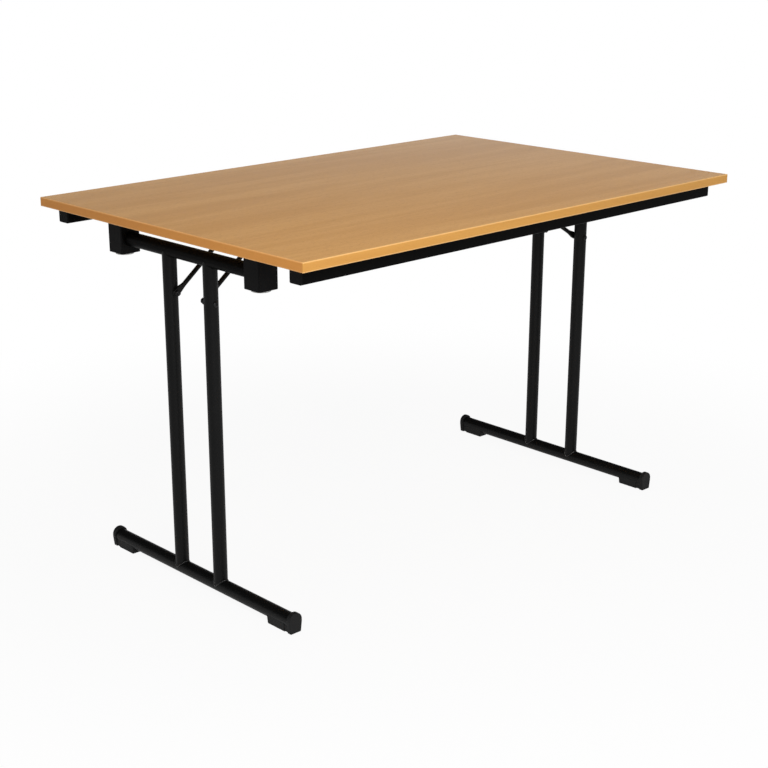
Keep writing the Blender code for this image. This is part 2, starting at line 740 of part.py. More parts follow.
def main():
    clear_scene()
    make_top()
    make_rail("front", -RAIL_Y)
    make_rail("rear", RAIL_Y)
    make_side("left", -1)
    make_side("right", 1)


main()
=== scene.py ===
# %% [markdown]
# # A folding table with a beech top
#
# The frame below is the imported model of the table: every solid part, in metres, with +Z up and the
# floor at zero. X runs along the table and Y across it. This lesson dresses that frame. Each part gets a
# finer surface where its plain solid is too coarse, and a finish made of shader nodes.

import json
import math

import bpy
import numpy as np
from mathutils import Matrix, Vector


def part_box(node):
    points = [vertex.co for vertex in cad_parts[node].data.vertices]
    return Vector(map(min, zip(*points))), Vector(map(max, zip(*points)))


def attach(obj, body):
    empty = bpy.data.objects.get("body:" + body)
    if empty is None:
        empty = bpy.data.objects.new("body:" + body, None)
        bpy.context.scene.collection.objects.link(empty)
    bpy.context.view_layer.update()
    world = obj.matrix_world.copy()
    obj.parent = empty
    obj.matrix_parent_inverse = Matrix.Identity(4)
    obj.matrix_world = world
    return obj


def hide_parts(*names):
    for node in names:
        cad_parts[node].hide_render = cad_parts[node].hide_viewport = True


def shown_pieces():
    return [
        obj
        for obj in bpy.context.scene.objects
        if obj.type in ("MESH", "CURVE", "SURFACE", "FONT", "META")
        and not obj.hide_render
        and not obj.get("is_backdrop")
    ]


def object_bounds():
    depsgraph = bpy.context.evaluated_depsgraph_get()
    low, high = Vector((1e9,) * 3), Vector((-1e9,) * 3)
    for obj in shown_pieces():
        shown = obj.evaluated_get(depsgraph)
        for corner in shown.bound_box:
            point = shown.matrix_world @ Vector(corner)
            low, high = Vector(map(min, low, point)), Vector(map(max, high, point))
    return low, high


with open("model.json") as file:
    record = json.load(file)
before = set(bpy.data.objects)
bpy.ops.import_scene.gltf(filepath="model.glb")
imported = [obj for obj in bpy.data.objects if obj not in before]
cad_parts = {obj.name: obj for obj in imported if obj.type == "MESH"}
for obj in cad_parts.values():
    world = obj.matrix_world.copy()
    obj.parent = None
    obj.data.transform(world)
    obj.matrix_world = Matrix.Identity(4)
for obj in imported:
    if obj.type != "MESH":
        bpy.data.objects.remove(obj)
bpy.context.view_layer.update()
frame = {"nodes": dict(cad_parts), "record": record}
MM = 0.001

# %% [markdown]
# ## The camera
#
# A camera can be set by eye, but a few long straight edges fix it much better. These values come from
# fitting the table's edges, columns and feet. The lens is long, so the table shows little perspective,
# and the view is a little above the top, looking at the corner between the front and the left end. The
# picture's middle is not where the lens points, so the frame is shifted by a twentieth of its width.

# %% Camera
CAMERA_PLACE = Vector((-2.1964, -2.2490, 1.3031))
CAMERA_HEADING = 0.8308
CAMERA_DIP = 0.3340
CAMERA_ROLL = -0.0055
LENS_MM = 71.62
SENSOR_MM = 36.0
FRAME_SHIFT = (0.0503, 0.0532)


def camera_turn(heading, dip, roll):
    """Columns are the camera's right, up and backward directions, from its heading, dip and roll."""
    ahead = Vector(
        (math.cos(heading) * math.cos(dip), math.sin(heading) * math.cos(dip), -math.sin(dip))
    )
    right = Vector((math.sin(heading), -math.cos(heading), 0.0))
    up = right.cross(ahead)
    level = Matrix((right, up, -ahead)).transposed()
    return level @ Matrix.Rotation(roll, 3, "Z")


camera_data = bpy.data.cameras.new("camera")
camera_data.lens = LENS_MM
camera_data.sensor_width = SENSOR_MM
camera_data.shift_x, camera_data.shift_y = FRAME_SHIFT
camera = bpy.data.objects.new("camera", camera_data)
bpy.context.scene.collection.objects.link(camera)
turn = camera_turn(CAMERA_HEADING, CAMERA_DIP, CAMERA_ROLL)
camera.matrix_world = Matrix.Translation(CAMERA_PLACE) @ turn.to_4x4()
bpy.context.scene.camera = camera
print("camera:", tuple(round(value, 2) for value in CAMERA_PLACE), "lens", LENS_MM, "mm")

# %% [markdown]
# ## Light
#
# The light on the table is that of a plain studio. A softbox beside and above the camera lights the top,
# the front and the left end, less and less towards the far right. A weak lamp overhead and the world
# fill in the rest. What the camera sees behind the table is white through a Light Path switch, and that
# white adds no light to the object. Steel and lacquer reflect it too: white at the horizon, as a
# backdrop would be, and dark higher up, as the rest of a studio would be. A plain white world would be
# simpler, but in it black tubes turn grey all round and lose their shape.

# %% Lamps
TOP_LAMP_PLACE = (0.3, -0.3, 2.6)
TOP_LAMP_TARGET = (0.1, -0.1, 0.7)
TOP_LAMP_SIZE = 2.0
TOP_LAMP_POWER = 8.0
SOFTBOX_PLACE = (-1.45, -2.05, 1.9)
SOFTBOX_TARGET = (0.3, -0.9, 0.7)
SOFTBOX_SIZE = 1.2
SOFTBOX_POWER = 53.0


def area_lamp(name, place, target, size, power):
    """A round lamp of this size across, turned to its target."""
    lamp = bpy.data.lights.new(name, "AREA")
    lamp.shape = "DISK"
    lamp.size = size
    lamp.energy = power
    holder = bpy.data.objects.new(name, lamp)
    bpy.context.scene.collection.objects.link(holder)
    aim = Vector(target) - Vector(place)
    holder.location = place
    holder.rotation_euler = aim.to_track_quat("-Z", "Y").to_euler()


area_lamp("top_lamp", TOP_LAMP_PLACE, TOP_LAMP_TARGET, TOP_LAMP_SIZE, TOP_LAMP_POWER)
area_lamp("softbox", SOFTBOX_PLACE, SOFTBOX_TARGET, SOFTBOX_SIZE, SOFTBOX_POWER)
print("lamps:", TOP_LAMP_POWER, "W overhead and", SOFTBOX_POWER, "W beside the camera")

# %% [markdown]
# ## Nodes that feed each other
#
# A net of nodes is built by placing a node and linking sockets. Each helper places one node, feeds it
# and gives back the socket that it puts out, so a line of Python reads like a line of arithmetic.

# %% Node helpers
def maths(tree, operation, first, second):
    """A Math node, whose two inputs may each be a number or another node's socket."""
    node = tree.nodes.new("ShaderNodeMath")
    node.operation = operation
    for socket, value in zip(node.inputs, (first, second)):
        if isinstance(value, (int, float)):
            socket.default_value = value
        else:
            tree.links.new(value, socket)
    return node.outputs[0]


def spread(tree, value, low_in, high_in, low_out=0.0, high_out=1.0):
    """Maps a range of values to another range, smoothly and without going past its ends."""
    node = tree.nodes.new("ShaderNodeMapRange")
    node.interpolation_type = "SMOOTHSTEP"
    labels = ("From Min", "From Max", "To Min", "To Max")
    for label, number in zip(labels, (low_in, high_in, low_out, high_out)):
        node.inputs[label].default_value = number
    tree.links.new(value, node.inputs["Value"])
    return node.outputs["Result"]


def ray_kinds(tree):
    """Two masks: for rays from the camera, and for rays that a glossy or clear surface sends on."""
    paths = tree.nodes.new("ShaderNodeLightPath").outputs
    sent_on = maths(tree, "MAXIMUM", paths["Is Glossy Ray"], paths["Is Transmission Ray"])
    return paths["Is Camera Ray"], sent_on


def mix_shaders(tree, amount, first, second):
    """The first shader where the amount is zero, and the second where it is one."""
    mix = tree.nodes.new("ShaderNodeMixShader")
    tree.links.new(amount, mix.inputs[0])
    tree.links.new(first, mix.inputs[1])
    tree.links.new(second, mix.inputs[2])
    return mix.outputs[0]


# %% World
WHITE = (1.0, 1.0, 1.0, 1.0)
WORLD_STRENGTH = 0.50
STUDIO_STRENGTH = 0.05
BACKDROP_TOP = 0.12
STUDIO_START = 0.156


def background(tree, strength):
    """White light from all round, of this strength."""
    node = tree.nodes.new("ShaderNodeBackground")
    node.inputs["Color"].default_value = WHITE
    node.inputs["Strength"].default_value = strength
    return node


world = bpy.data.worlds.new("studio")
bpy.context.scene.world = world
world.use_nodes = True
sky = world.node_tree
sky.nodes.clear()
from_camera, sent_on = ray_kinds(sky)
direction = sky.nodes.new("ShaderNodeSeparateXYZ")
sky.links.new(sky.nodes.new("ShaderNodeTexCoord").outputs["Generated"], direction.inputs[0])
studio = background(sky, 1.0)
height = direction.outputs["Z"]
studio_strength = spread(sky, height, BACKDROP_TOP, STUDIO_START, 1.0, STUDIO_STRENGTH)
sky.links.new(studio_strength, studio.inputs["Strength"])
unseen = mix_shaders(sky, sent_on, background(sky, WORLD_STRENGTH).outputs[0], studio.outputs[0])
sky_mix = mix_shaders(sky, from_camera, unseen, background(sky, 1.0).outputs[0])
sky.links.new(sky_mix, sky.nodes.new("ShaderNodeOutputWorld").inputs["Surface"])
print("world:", len(sky.nodes), "nodes, white below a slope of", BACKDROP_TOP)

# %% [markdown]
# ## Floor
#
# The floor is a pale surface that really takes the table's soft shadow. To the camera it is mostly white
# already close to the table and entirely white further out, so it runs into the background without a
# horizon. A curved backdrop would do the same with more geometry, and would show in other views. In
# reflections the floor is a third white near the table, and as bright as it is lit further out.

# %% Floor
FLOOR_SIZE = 14.0
FLOOR_COLOUR = (0.70, 0.70, 0.70, 1.0)
FLOOR_ROUGHNESS = 0.9
WHITE_SHARE_NEAR = 0.92
FADE_FROM = 0.7
FADE_TO = 1.7
REFLECTED_SHARE = 0.35
REFLECTED_FROM = 1.0
REFLECTED_TO = 3.2

floor_mesh = bpy.data.meshes.new("floor")
reach = FLOOR_SIZE / 2
floor_corners = [
    (-reach, -reach, 0.0), (reach, -reach, 0.0), (reach, reach, 0.0), (-reach, reach, 0.0),
]
floor_mesh.from_pydata(floor_corners, [], [(0, 1, 2, 3)])
floor = bpy.data.objects.new("floor", floor_mesh)
bpy.context.scene.collection.objects.link(floor)
floor_material = bpy.data.materials.new("floor")
floor_material.use_nodes = True
ground = floor_material.node_tree
lit = ground.nodes["Principled BSDF"]
lit.inputs["Base Color"].default_value = FLOOR_COLOUR
lit.inputs["Roughness"].default_value = FLOOR_ROUGHNESS
lit.inputs["Specular IOR Level"].default_value = 0.0
distance = ground.nodes.new("ShaderNodeVectorMath")
distance.operation = "LENGTH"
ground.links.new(ground.nodes.new("ShaderNodeTexCoord").outputs["Object"], distance.inputs[0])
from_camera, sent_on = ray_kinds(ground)
whiter = spread(ground, distance.outputs["Value"], FADE_FROM, FADE_TO, WHITE_SHARE_NEAR, 1.0)
dimmer = spread(ground, distance.outputs["Value"], REFLECTED_FROM, REFLECTED_TO, REFLECTED_SHARE, 0.0)
seen_share = maths(ground, "MULTIPLY", from_camera, whiter)
reflected_share = maths(ground, "MULTIPLY", sent_on, dimmer)
share = maths(ground, "MAXIMUM", seen_share, reflected_share)
white = ground.nodes.new("ShaderNodeEmission")
floor_mix = mix_shaders(ground, share, lit.outputs[0], white.outputs[0])
ground.links.new(floor_mix, ground.nodes["Material Output"].inputs["Surface"])
floor_mesh.materials.append(floor_material)
floor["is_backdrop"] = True

bpy.context.scene.view_settings.view_transform = "Standard"
print("floor:", FLOOR_SIZE, "m across, white from", FADE_TO, "m out")

# %% [markdown]
# ## From arrays to surfaces
#
# Every new piece here is a grid of points: rows of sections, each with the same number of points round
# it. Two rows side by side share a strip of four-sided faces, so the faces follow from the grid's size
# alone. A solid bar closes its two end sections with flat faces, and a tube joins its last section to
# its first. Outlines are drawn counter-clockwise in two dimensions and then carried along an axis. The
# same pieces could be primitives with modifiers, but a grid puts every point where the formula says.

# %% Outlines
ARC_STEPS = 8


def unit(vector):
    """The vector divided by its length."""
    return vector / np.linalg.norm(vector)


def unit_rows(rows):
    """Each row divided by its own length."""
    return rows / np.linalg.norm(rows, axis=1, keepdims=True)


def whole_turn(count):
    """Equal angles round a full turn, without the last, which would repeat the first."""
    return np.arange(count) * 2 * np.pi / count


def quarter_turn(steps):
    """Angles from zero to a right angle, for a rim that is rounded in this many steps."""
    return np.linspace(0.0, np.pi / 2, steps + 1)


def circle(radius, count):
    """Points at equal angles on a circle."""
    angle = whole_turn(count)
    return radius * np.stack([np.cos(angle), np.sin(angle)], axis=1)


def arc(centre, radius, start, end, count):
    """Points at equal angles from one angle to another."""
    angle = np.linspace(start, end, count)
    return centre + radius * np.stack([np.cos(angle), np.sin(angle)], axis=1)


def rounded(corners, radii, steps=ARC_STEPS):
    """A counter-clockwise outline whose corners are arcs that run into both sides, or stay where the
    radius is zero. An arc's centre lies on the corner's bisector, radius / sin(half angle) away."""
    corners = np.asarray(corners, float)
    pieces = []
    for i, (corner, radius) in enumerate(zip(corners, np.broadcast_to(radii, len(corners)))):
        if radius == 0:
            pieces.append(corner[None, :])
            continue
        back = unit(corners[i - 1] - corner)
        onward = unit(corners[(i + 1) % len(corners)] - corner)
        half = math.acos(np.clip(back @ onward, -1.0, 1.0)) / 2
        centre = corner + unit(back + onward) * radius / math.sin(half)
        first = corner + back * radius / math.tan(half) - centre
        start = math.atan2(first[1], first[0])
        pieces.append(arc(centre, radius, start, start + math.pi - 2 * half, steps + 1))
    return np.concatenate(pieces)


def rectangle(width, height, radius, steps=ARC_STEPS):
    """A rectangle about the origin, with its four corners rounded alike."""
    u, v = width / 2, height / 2
    return rounded([(-u, -v), (u, -v), (u, v), (-u, v)], radius, steps)


def inset(outline, depth):
    """The outline with each point moved inwards, square to the line through its two neighbours."""
    along = unit_rows(np.roll(outline, -1, axis=0) - np.roll(outline, 1, axis=0))
    outward = np.stack([along[:, 1], -along[:, 0]], axis=1)
    return outline - depth * outward


# %% Sections
SOFT_STEPS = 5


def shift(grid, offset):
    """Every point moved by the same (x, y, z)."""
    return grid + np.asarray(offset)


def section(outline, along, axis):
    """An outline set square to an axis, this far along it."""
    u, v = outline[:, 0], outline[:, 1]
    w = np.full(len(outline), along)
    order = {"X": (w, u, v), "Y": (u, w, v), "Z": (u, v, w)}[axis]
    return np.stack(order, axis=1)


def soft_rim(edge, place, way, steps):
    """Pairs (draw, place) of a rounded rim. It draws in by edge * (1 - sin t) while it has gone
    edge * (1 - cos t) along the way given, with t from zero to a quarter turn."""
    turn = quarter_turn(steps)
    return list(zip(edge * (1 - np.sin(turn)), place + way * edge * (1 - np.cos(turn))))


def soft_bar(outline, start, end, start_edge, end_edge, axis):
    """A bar whose two rims are rounded, each by its own edge."""
    way = math.copysign(1.0, end - start)
    opening = soft_rim(start_edge, start, way, SOFT_STEPS)
    closing = soft_rim(end_edge, end, -way, SOFT_STEPS)[::-1]
    return np.array([section(inset(outline, draw), along, axis) for draw, along in opening + closing])


def turned(profile, count, axis):
    """A profile of (radius, place) pairs turned once round the axis."""
    return np.array([section(circle(radius, count), place, axis) for radius, place in profile])


def pipe(outer, inner, start, end, edge, axis):
    """A tube's outside, its end, its bore and its other end, with the outer rims broken by an edge."""
    loops = (
        (inset(outer, edge), start),
        (outer, start + edge),
        (outer, end - edge),
        (inset(outer, edge), end),
        (inner, end),
        (inner, start),
    )
    return np.array([section(outline, place, axis) for outline, place in loops])


print("a rounded corner has", ARC_STEPS + 1, "points, and a soft rim", SOFT_STEPS + 1, "sections")

# %% Grids into meshes
SHARP_ANGLE = math.radians(34)


def finish_shading(mesh, sharp):
    """Smooth shading, broken where two faces meet at more than the sharp angle."""
    mesh.shade_smooth()
    mesh.set_sharp_from_angle(angle=sharp)


def volume(points, quads, caps):
    """The signed volume inside closed faces: a sixth of the sum of a . (b x c) over their triangles. It
    is negative where the faces point inwards."""
    fans = [quads[:, [0, 1, 2]], quads[:, [0, 2, 3]]]
    for cap in caps:
        hub = np.full(len(cap) - 2, cap[0])
        fans.append(np.stack([hub, cap[1:-1], cap[2:]], axis=1))
    a, b, c = points[np.concatenate(fans)].transpose(1, 0, 2)
    return np.sum(a * np.cross(b, c)) / 6


def surface(name, grid, ring=False, sharp=SHARP_ANGLE):
    """An object from rows x count x 3 points: closed round each row, then capped or joined up."""
    rows, count = grid.shape[:2]
    r, c = np.meshgrid(np.arange(rows if ring else rows - 1), np.arange(count), indexing="ij")
    r_next, c_next = (r + 1) % rows, (c + 1) % count
    corners = (r * count + c, r * count + c_next, r_next * count + c_next, r_next * count + c)
    quads = np.stack(corners, axis=-1).reshape(-1, 4)
    caps = [] if ring else [np.arange(count)[::-1], np.arange((rows - 1) * count, rows * count)]
    points = grid.reshape(-1, 3)
    if volume(points, quads, caps) < 0:
        quads, caps = quads[:, ::-1], [cap[::-1] for cap in caps]
    faces = quads.tolist() + [cap.tolist() for cap in caps]
    mesh = bpy.data.meshes.new(name)
    mesh.from_pydata(points.tolist(), [], faces)
    finish_shading(mesh, sharp)
    obj = bpy.data.objects.new(name, mesh)
    bpy.context.scene.collection.objects.link(obj)
    return obj


# %% Joining and cutting
HOLE_COUNT = 40
OVERSHOOT = 10 * MM


def combine(obj, others, operation):
    """Cuts the others from the object, or joins them to it, and keeps the result as its mesh."""
    for other in others:
        modifier = obj.modifiers.new(other.name, "BOOLEAN")
        modifier.operation = operation
        modifier.object = other
    graph = bpy.context.evaluated_depsgraph_get()
    mesh = bpy.data.meshes.new_from_object(obj.evaluated_get(graph))
    obj.modifiers.clear()
    obj.data = mesh
    finish_shading(mesh, SHARP_ANGLE)
    for other in others:
        bpy.data.objects.remove(other)
    return obj


def bored(obj, *holes):
    """Cuts round holes, each given as (radius, axis, start, end, centre), from an object."""
    cutters = [
        surface("hole", shift(turned([(radius, start), (radius, end)], HOLE_COUNT, axis), centre))
        for radius, axis, start, end, centre in holes
    ]
    return combine(obj, cutters, "DIFFERENCE")


print("cutters reach", OVERSHOOT / MM, "mm past a face, so that no two faces lie in one plane")

# %% [markdown]
# ## Places from the frame
#
# Each piece could be placed by hand, but then it would drift from the solid at every change. Here it
# reads the box of the solid that it dresses, and takes its body and its material slot from the record,
# so it moves and is painted as that solid is.

# %% Places from the frame
RECORD = frame["record"]
BODY_OF = {node: body for body, nodes in RECORD["behaviour"]["bodies"].items() for node in nodes}
SLOT_OF = {part["node"]: part["material_slot"] for part in RECORD["subparts"]}
SIDES = {"left": -1, "right": 1}
ENDS = {"front": -1, "rear": 1}
FINISHES = {}
made = []


def span(node):
    """The lowest and highest corner and the middle of a solid."""
    lowest, highest = [np.array(corner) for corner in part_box(node)]
    return lowest, highest, (lowest + highest) / 2


def dress(obj, body, finish, nodes=()):
    """Gives a piece its finish, sets it on its body and hides the solids that it stands for."""
    obj.data.materials.clear()
    obj.data.materials.append(FINISHES[finish])
    flats = obj.modifiers.new("flat_faces", "WEIGHTED_NORMAL")
    flats.keep_sharp = True
    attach(obj, body)
    if nodes:
        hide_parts(*nodes)
    made.append(obj.name)


def stand_for(obj, node, finish=None):
    """Dresses a piece in place of one solid, with that solid's body and slot."""
    dress(obj, BODY_OF[node], finish or SLOT_OF[node], [node])


print("material slots:", sorted(set(SLOT_OF.values())))

# %% [markdown]
# ## Shader helpers
#
# A finish is a small net of nodes too, and reads as a list of what feeds what. A pattern that several
# finishes share could be copied into each. It is a node group here: built once, with named inputs, and
# placed in every material with that material's own values.

# %% Shader helpers
def new_group(name, inputs, outputs):
    """A node group with its sockets. Inputs are (name, type, value), and outputs (name, type)."""
    group = bpy.data.node_groups.new(name, "ShaderNodeTree")
    for label, kind, value in inputs:
        socket = group.interface.new_socket(label, in_out="INPUT", socket_type=kind)
        if value is not None:
            socket.default_value = value
    for label, kind in outputs:
        group.interface.new_socket(label, in_out="OUTPUT", socket_type=kind)
    return group, group.nodes.new("NodeGroupInput"), group.nodes.new("NodeGroupOutput")


def noise(tree, vector, scale, detail, roughness=0.5, distortion=0.0):
    """A Noise Texture, whose scale may be a number or another node's socket."""
    node = tree.nodes.new("ShaderNodeTexNoise")
    if isinstance(scale, float):
        node.inputs["Scale"].default_value = scale
    else:
        tree.links.new(scale, node.inputs["Scale"])
    node.inputs["Detail"].default_value = detail
    node.inputs["Roughness"].default_value = roughness
    node.inputs["Distortion"].default_value = distortion
    tree.links.new(vector, node.inputs["Vector"])
    return node.outputs["Fac"]


def stretched(tree, vector, scale):
    """The coordinates times a scale for each axis, so a noise draws out along the axis with the least."""
    node = tree.nodes.new("ShaderNodeMapping")
    node.inputs["Scale"].default_value = scale
    tree.links.new(vector, node.inputs["Vector"])
    return node.outputs["Vector"]


def blend_colour(tree, amount, first, second):
    """The first colour where the amount is zero, and the second where it is one."""
    node = tree.nodes.new("ShaderNodeMix")
    node.data_type = "RGBA"
    slots = {socket.identifier: socket for socket in node.inputs}
    for label, value in (("Factor_Float", amount), ("A_Color", first), ("B_Color", second)):
        if isinstance(value, (int, float, tuple)):
            slots[label].default_value = value
        else:
            tree.links.new(value, slots[label])
    return [socket for socket in node.outputs if socket.identifier == "Result_Color"][0]


def new_finish(name, turn=0.0):
    """A material with its Principled shader and its Object coordinates, turned about Z if asked."""
    material = bpy.data.materials.new(name)
    material.use_nodes = True
    tree = material.node_tree
    shader = tree.nodes["Principled BSDF"]
    coordinates = tree.nodes.new("ShaderNodeTexCoord").outputs["Object"]
    if turn:
        mapping = tree.nodes.new("ShaderNodeMapping")
        mapping.inputs["Rotation"].default_value = (0.0, 0.0, turn)
        tree.links.new(coordinates, mapping.inputs["Vector"])
        coordinates = mapping.outputs["Vector"]
    FINISHES[name] = material
    return tree, shader, coordinates


def place_group(tree, group, vector, **values):
    """Places a node group, with values for its inputs by name (an underscore stands for a space)."""
    node = tree.nodes.new("ShaderNodeGroup")
    node.node_tree = group
    tree.links.new(vector, node.inputs["Vector"])
    for label, value in values.items():
        node.inputs[label.replace("_", " ")].default_value = value
    return node


def bump(tree, shader, height, strength, distance):
    """Tilts the shader's normal as if the surface rose by height * distance."""
    node = tree.nodes.new("ShaderNodeBump")
    node.inputs["Strength"].default_value = strength
    node.inputs["Distance"].default_value = distance
    tree.links.new(height, node.inputs["Height"])
    tree.links.new(node.outputs["Normal"], shader.inputs["Normal"])


# %% [markdown]
# ## Beech
#
# The top is a beech decor. Beech is pale and even: broad soft streaks along the board, a fine fibre,
# and short dark dashes where the rays of the wood are cut. A scanned picture of wood would be the usual
# way, but a pattern made of noise has no seams and keeps its scale. All three features are one noise,
# drawn out by different amounts along X. The dashes are the peaks of a very fine noise. The same group
# serves the edge bands, which are a little more orange, and it is turned by a quarter for the two short
# ends. Along each band's rims a paler colour is painted in: a painted highlight for the light that the
# rounded arris catches, and partly the pale of plastic that was milled and scraped.

# %% Beech pattern
STREAKS_PER_METRE = (1.1, 17.0, 17.0)
STREAK_LIMITS = (0.32, 0.68)
STREAK_SHARE = 0.75
FIBRES_PER_METRE = (9.0, 420.0, 420.0)
FIBRE_SHARE = 0.25
FIBRE_HEIGHT = 0.4
FIBRE_LIMITS = (0.2, 0.8)
BEECH_ROUGHNESS = (0.14, 0.20)
DASHES_PER_METRE = (120.0, 1150.0, 1150.0)
DASH_LIMITS = (0.60, 0.70)
DASH_DEPTH = 0.6

beech, beech_in, beech_out = new_group(
    "beech",
    (
        ("Vector", "NodeSocketVector", None),
        ("Pale", "NodeSocketColor", (0.56, 0.34, 0.155, 1.0)),
        ("Deep", "NodeSocketColor", (0.45, 0.245, 0.095, 1.0)),
        ("Dash", "NodeSocketColor", (0.30, 0.145, 0.052, 1.0)),
        ("Dash Strength", "NodeSocketFloat", 0.55),
    ),
    (("Color", "NodeSocketColor"), ("Height", "NodeSocketFloat"), ("Roughness", "NodeSocketFloat")),
)
where = beech_in.outputs["Vector"]
streak = noise(
    beech, stretched(beech, where, STREAKS_PER_METRE), 1.0, detail=5.0, roughness=0.6, distortion=0.5
)
fibre = noise(beech, stretched(beech, where, FIBRES_PER_METRE), 1.0, detail=3.0, roughness=0.6)
dash = noise(beech, stretched(beech, where, DASHES_PER_METRE), 1.0, detail=1.0, roughness=0.4)
streak_tone = spread(beech, streak, *STREAK_LIMITS, 0.0, STREAK_SHARE)
tone = maths(beech, "ADD", streak_tone, maths(beech, "MULTIPLY", fibre, FIBRE_SHARE))
body_colour = blend_colour(beech, tone, beech_in.outputs["Deep"], beech_in.outputs["Pale"])
peaks = spread(beech, dash, *DASH_LIMITS)
dash_mask = maths(beech, "MULTIPLY", peaks, beech_in.outputs["Dash Strength"])
beech_colour = blend_colour(beech, dash_mask, body_colour, beech_in.outputs["Dash"])
beech.links.new(beech_colour, beech_out.inputs["Color"])
raised = maths(beech, "MULTIPLY", fibre, FIBRE_HEIGHT)
relief = maths(beech, "SUBTRACT", raised, maths(beech, "MULTIPLY", dash_mask, DASH_DEPTH))
beech.links.new(relief, beech_out.inputs["Height"])
sheen = spread(beech, fibre, *FIBRE_LIMITS, *BEECH_ROUGHNESS)
beech.links.new(sheen, beech_out.inputs["Roughness"])
print("beech group:", len(beech.nodes), "nodes")

# %% Beech finishes
band_low, band_high, band_middle = span("edge_band_front")
BAND_MIDDLE = float(band_middle[2])
BAND_HALF = float(band_high[2] - band_low[2]) / 2
# The paler band along each rim: a painted highlight on the arris, partly scraped plastic.
SCRAPE_HIGHLIGHT_FROM = 2.4 * MM
SCRAPE_HIGHLIGHT_FULL = 1.2 * MM
GRAIN_STRENGTH = 0.12
GRAIN_DEPTH = 0.4 * MM


def beech_finish(name, pale, deep, dash_colour, gloss, dashes, turn=0.0, scrape_highlight=None):
    """Beech in these tones. A rim colour, where one is given, is painted along both rims: a painted
    highlight on the arris, and partly the pale of scraped plastic.
    """
    tree, shader, coordinates = new_finish(name, turn)
    grain = place_group(
        tree, beech, coordinates, Pale=pale, Deep=deep, Dash=dash_colour, Dash_Strength=dashes
    )
    colour = grain.outputs["Color"]
    # Painted highlight along both rims of the band, partly the pale of scraped plastic.
    if scrape_highlight:
        split = tree.nodes.new("ShaderNodeSeparateXYZ")
        tree.links.new(coordinates, split.inputs[0])
        above_middle = maths(tree, "SUBTRACT", split.outputs["Z"], BAND_MIDDLE)
        from_middle = maths(tree, "ABSOLUTE", above_middle, 0.0)
        rim = spread(tree, from_middle, BAND_HALF - SCRAPE_HIGHLIGHT_FROM, BAND_HALF - SCRAPE_HIGHLIGHT_FULL)
        colour = blend_colour(tree, rim, colour, scrape_highlight)
    tree.links.new(colour, shader.inputs["Base Color"])
    tree.links.new(grain.outputs["Roughness"], shader.inputs["Roughness"])
    shader.inputs["Specular IOR Level"].default_value = gloss
    bump(tree, shader, grain.outputs["Height"], GRAIN_STRENGTH, GRAIN_DEPTH)


# Rim colours: a painted highlight along each band's rounded arris, partly the pale of scraped plastic.
LONG_SCRAPE_HIGHLIGHT = (0.78, 0.45, 0.165, 1.0)
# The end bands' rim colour is darker still, as painted shade.
END_SHADED_SCRAPE_HIGHLIGHT = (0.72, 0.36, 0.12, 1.0)
BOARD_TONES = ((0.70, 0.375, 0.120, 1.0), (0.59, 0.295, 0.084, 1.0), (0.38, 0.172, 0.046, 1.0))
LONG_BAND_TONES = ((0.63, 0.320, 0.079, 1.0), (0.56, 0.267, 0.062, 1.0), (0.40, 0.178, 0.040, 1.0))
# Painted shade: the two end bands take a darker, redder copy of the long bands' tones, as they face the
# softbox less squarely than the front.
END_BAND_SHADED_TONES = ((0.64, 0.279, 0.065, 1.0), (0.57, 0.232, 0.052, 1.0), (0.41, 0.158, 0.033, 1.0))
beech_finish("board_veneer", *BOARD_TONES, gloss=0.30, dashes=0.55)
beech_finish("edge_band", *LONG_BAND_TONES, gloss=0.2, dashes=0.3, scrape_highlight=LONG_SCRAPE_HIGHLIGHT)
beech_finish(
    "edge_band_turned", *END_BAND_SHADED_TONES, gloss=0.2, dashes=0.3, turn=math.pi / 2, scrape_highlight=END_SHADED_SCRAPE_HIGHLIGHT
)
print("bands:", round(2 * BAND_HALF / MM, 1), "mm high, with paler rims of", SCRAPE_HIGHLIGHT_FROM / MM, "mm")

# %% [markdown]
# ## Black steel, plastic and plating
#
# The tubes are powder coated: the coat flows a little as it cures, which leaves the shallow waves
# called orange peel. The mouldings have a finer, sharper texture from the etched mould. Waves this small
# would take millions of faces, so both are heights for a Bump node. One group makes both, with its own
# wavelength and share of fine grit.

# %% Coat and moulding texture
HANDLED_PER_METRE = 9.0
HANDLED_LIMITS = (0.3, 0.7)
RUBS_PER_METRE = 45.0
RUB_LIMITS = (0.58, 0.72)

coat, coat_in, coat_out = new_group(
    "coat_texture",
    (
        ("Vector", "NodeSocketVector", None),
        ("Waves per metre", "NodeSocketFloat", 700.0),
        ("Grit per metre", "NodeSocketFloat", 4200.0),
        ("Grit share", "NodeSocketFloat", 0.2),
        ("Least roughness", "NodeSocketFloat", 0.38),
        ("Most roughness", "NodeSocketFloat", 0.5),
    ),
    (("Height", "NodeSocketFloat"), ("Roughness", "NodeSocketFloat"), ("Rub", "NodeSocketFloat")),
)
place = coat_in.outputs["Vector"]
waves = noise(coat, place, coat_in.outputs["Waves per metre"], detail=1.0)
grit = noise(coat, place, coat_in.outputs["Grit per metre"], detail=1.0)
fine = maths(coat, "MULTIPLY", grit, coat_in.outputs["Grit share"])
coat.links.new(maths(coat, "ADD", waves, fine), coat_out.inputs["Height"])
handled = noise(coat, place, HANDLED_PER_METRE, detail=4.0, roughness=0.65)
rough_range = coat.nodes.new("ShaderNodeMapRange")
coat.links.new(handled, rough_range.inputs["Value"])
for label, limit in zip(("From Min", "From Max"), HANDLED_LIMITS):
    rough_range.inputs[label].default_value = limit
coat.links.new(coat_in.outputs["Least roughness"], rough_range.inputs["To Min"])
coat.links.new(coat_in.outputs["Most roughness"], rough_range.inputs["To Max"])
coat.links.new(rough_range.outputs["Result"], coat_out.inputs["Roughness"])
rubs = noise(coat, place, RUBS_PER_METRE, detail=5.0, roughness=0.7)
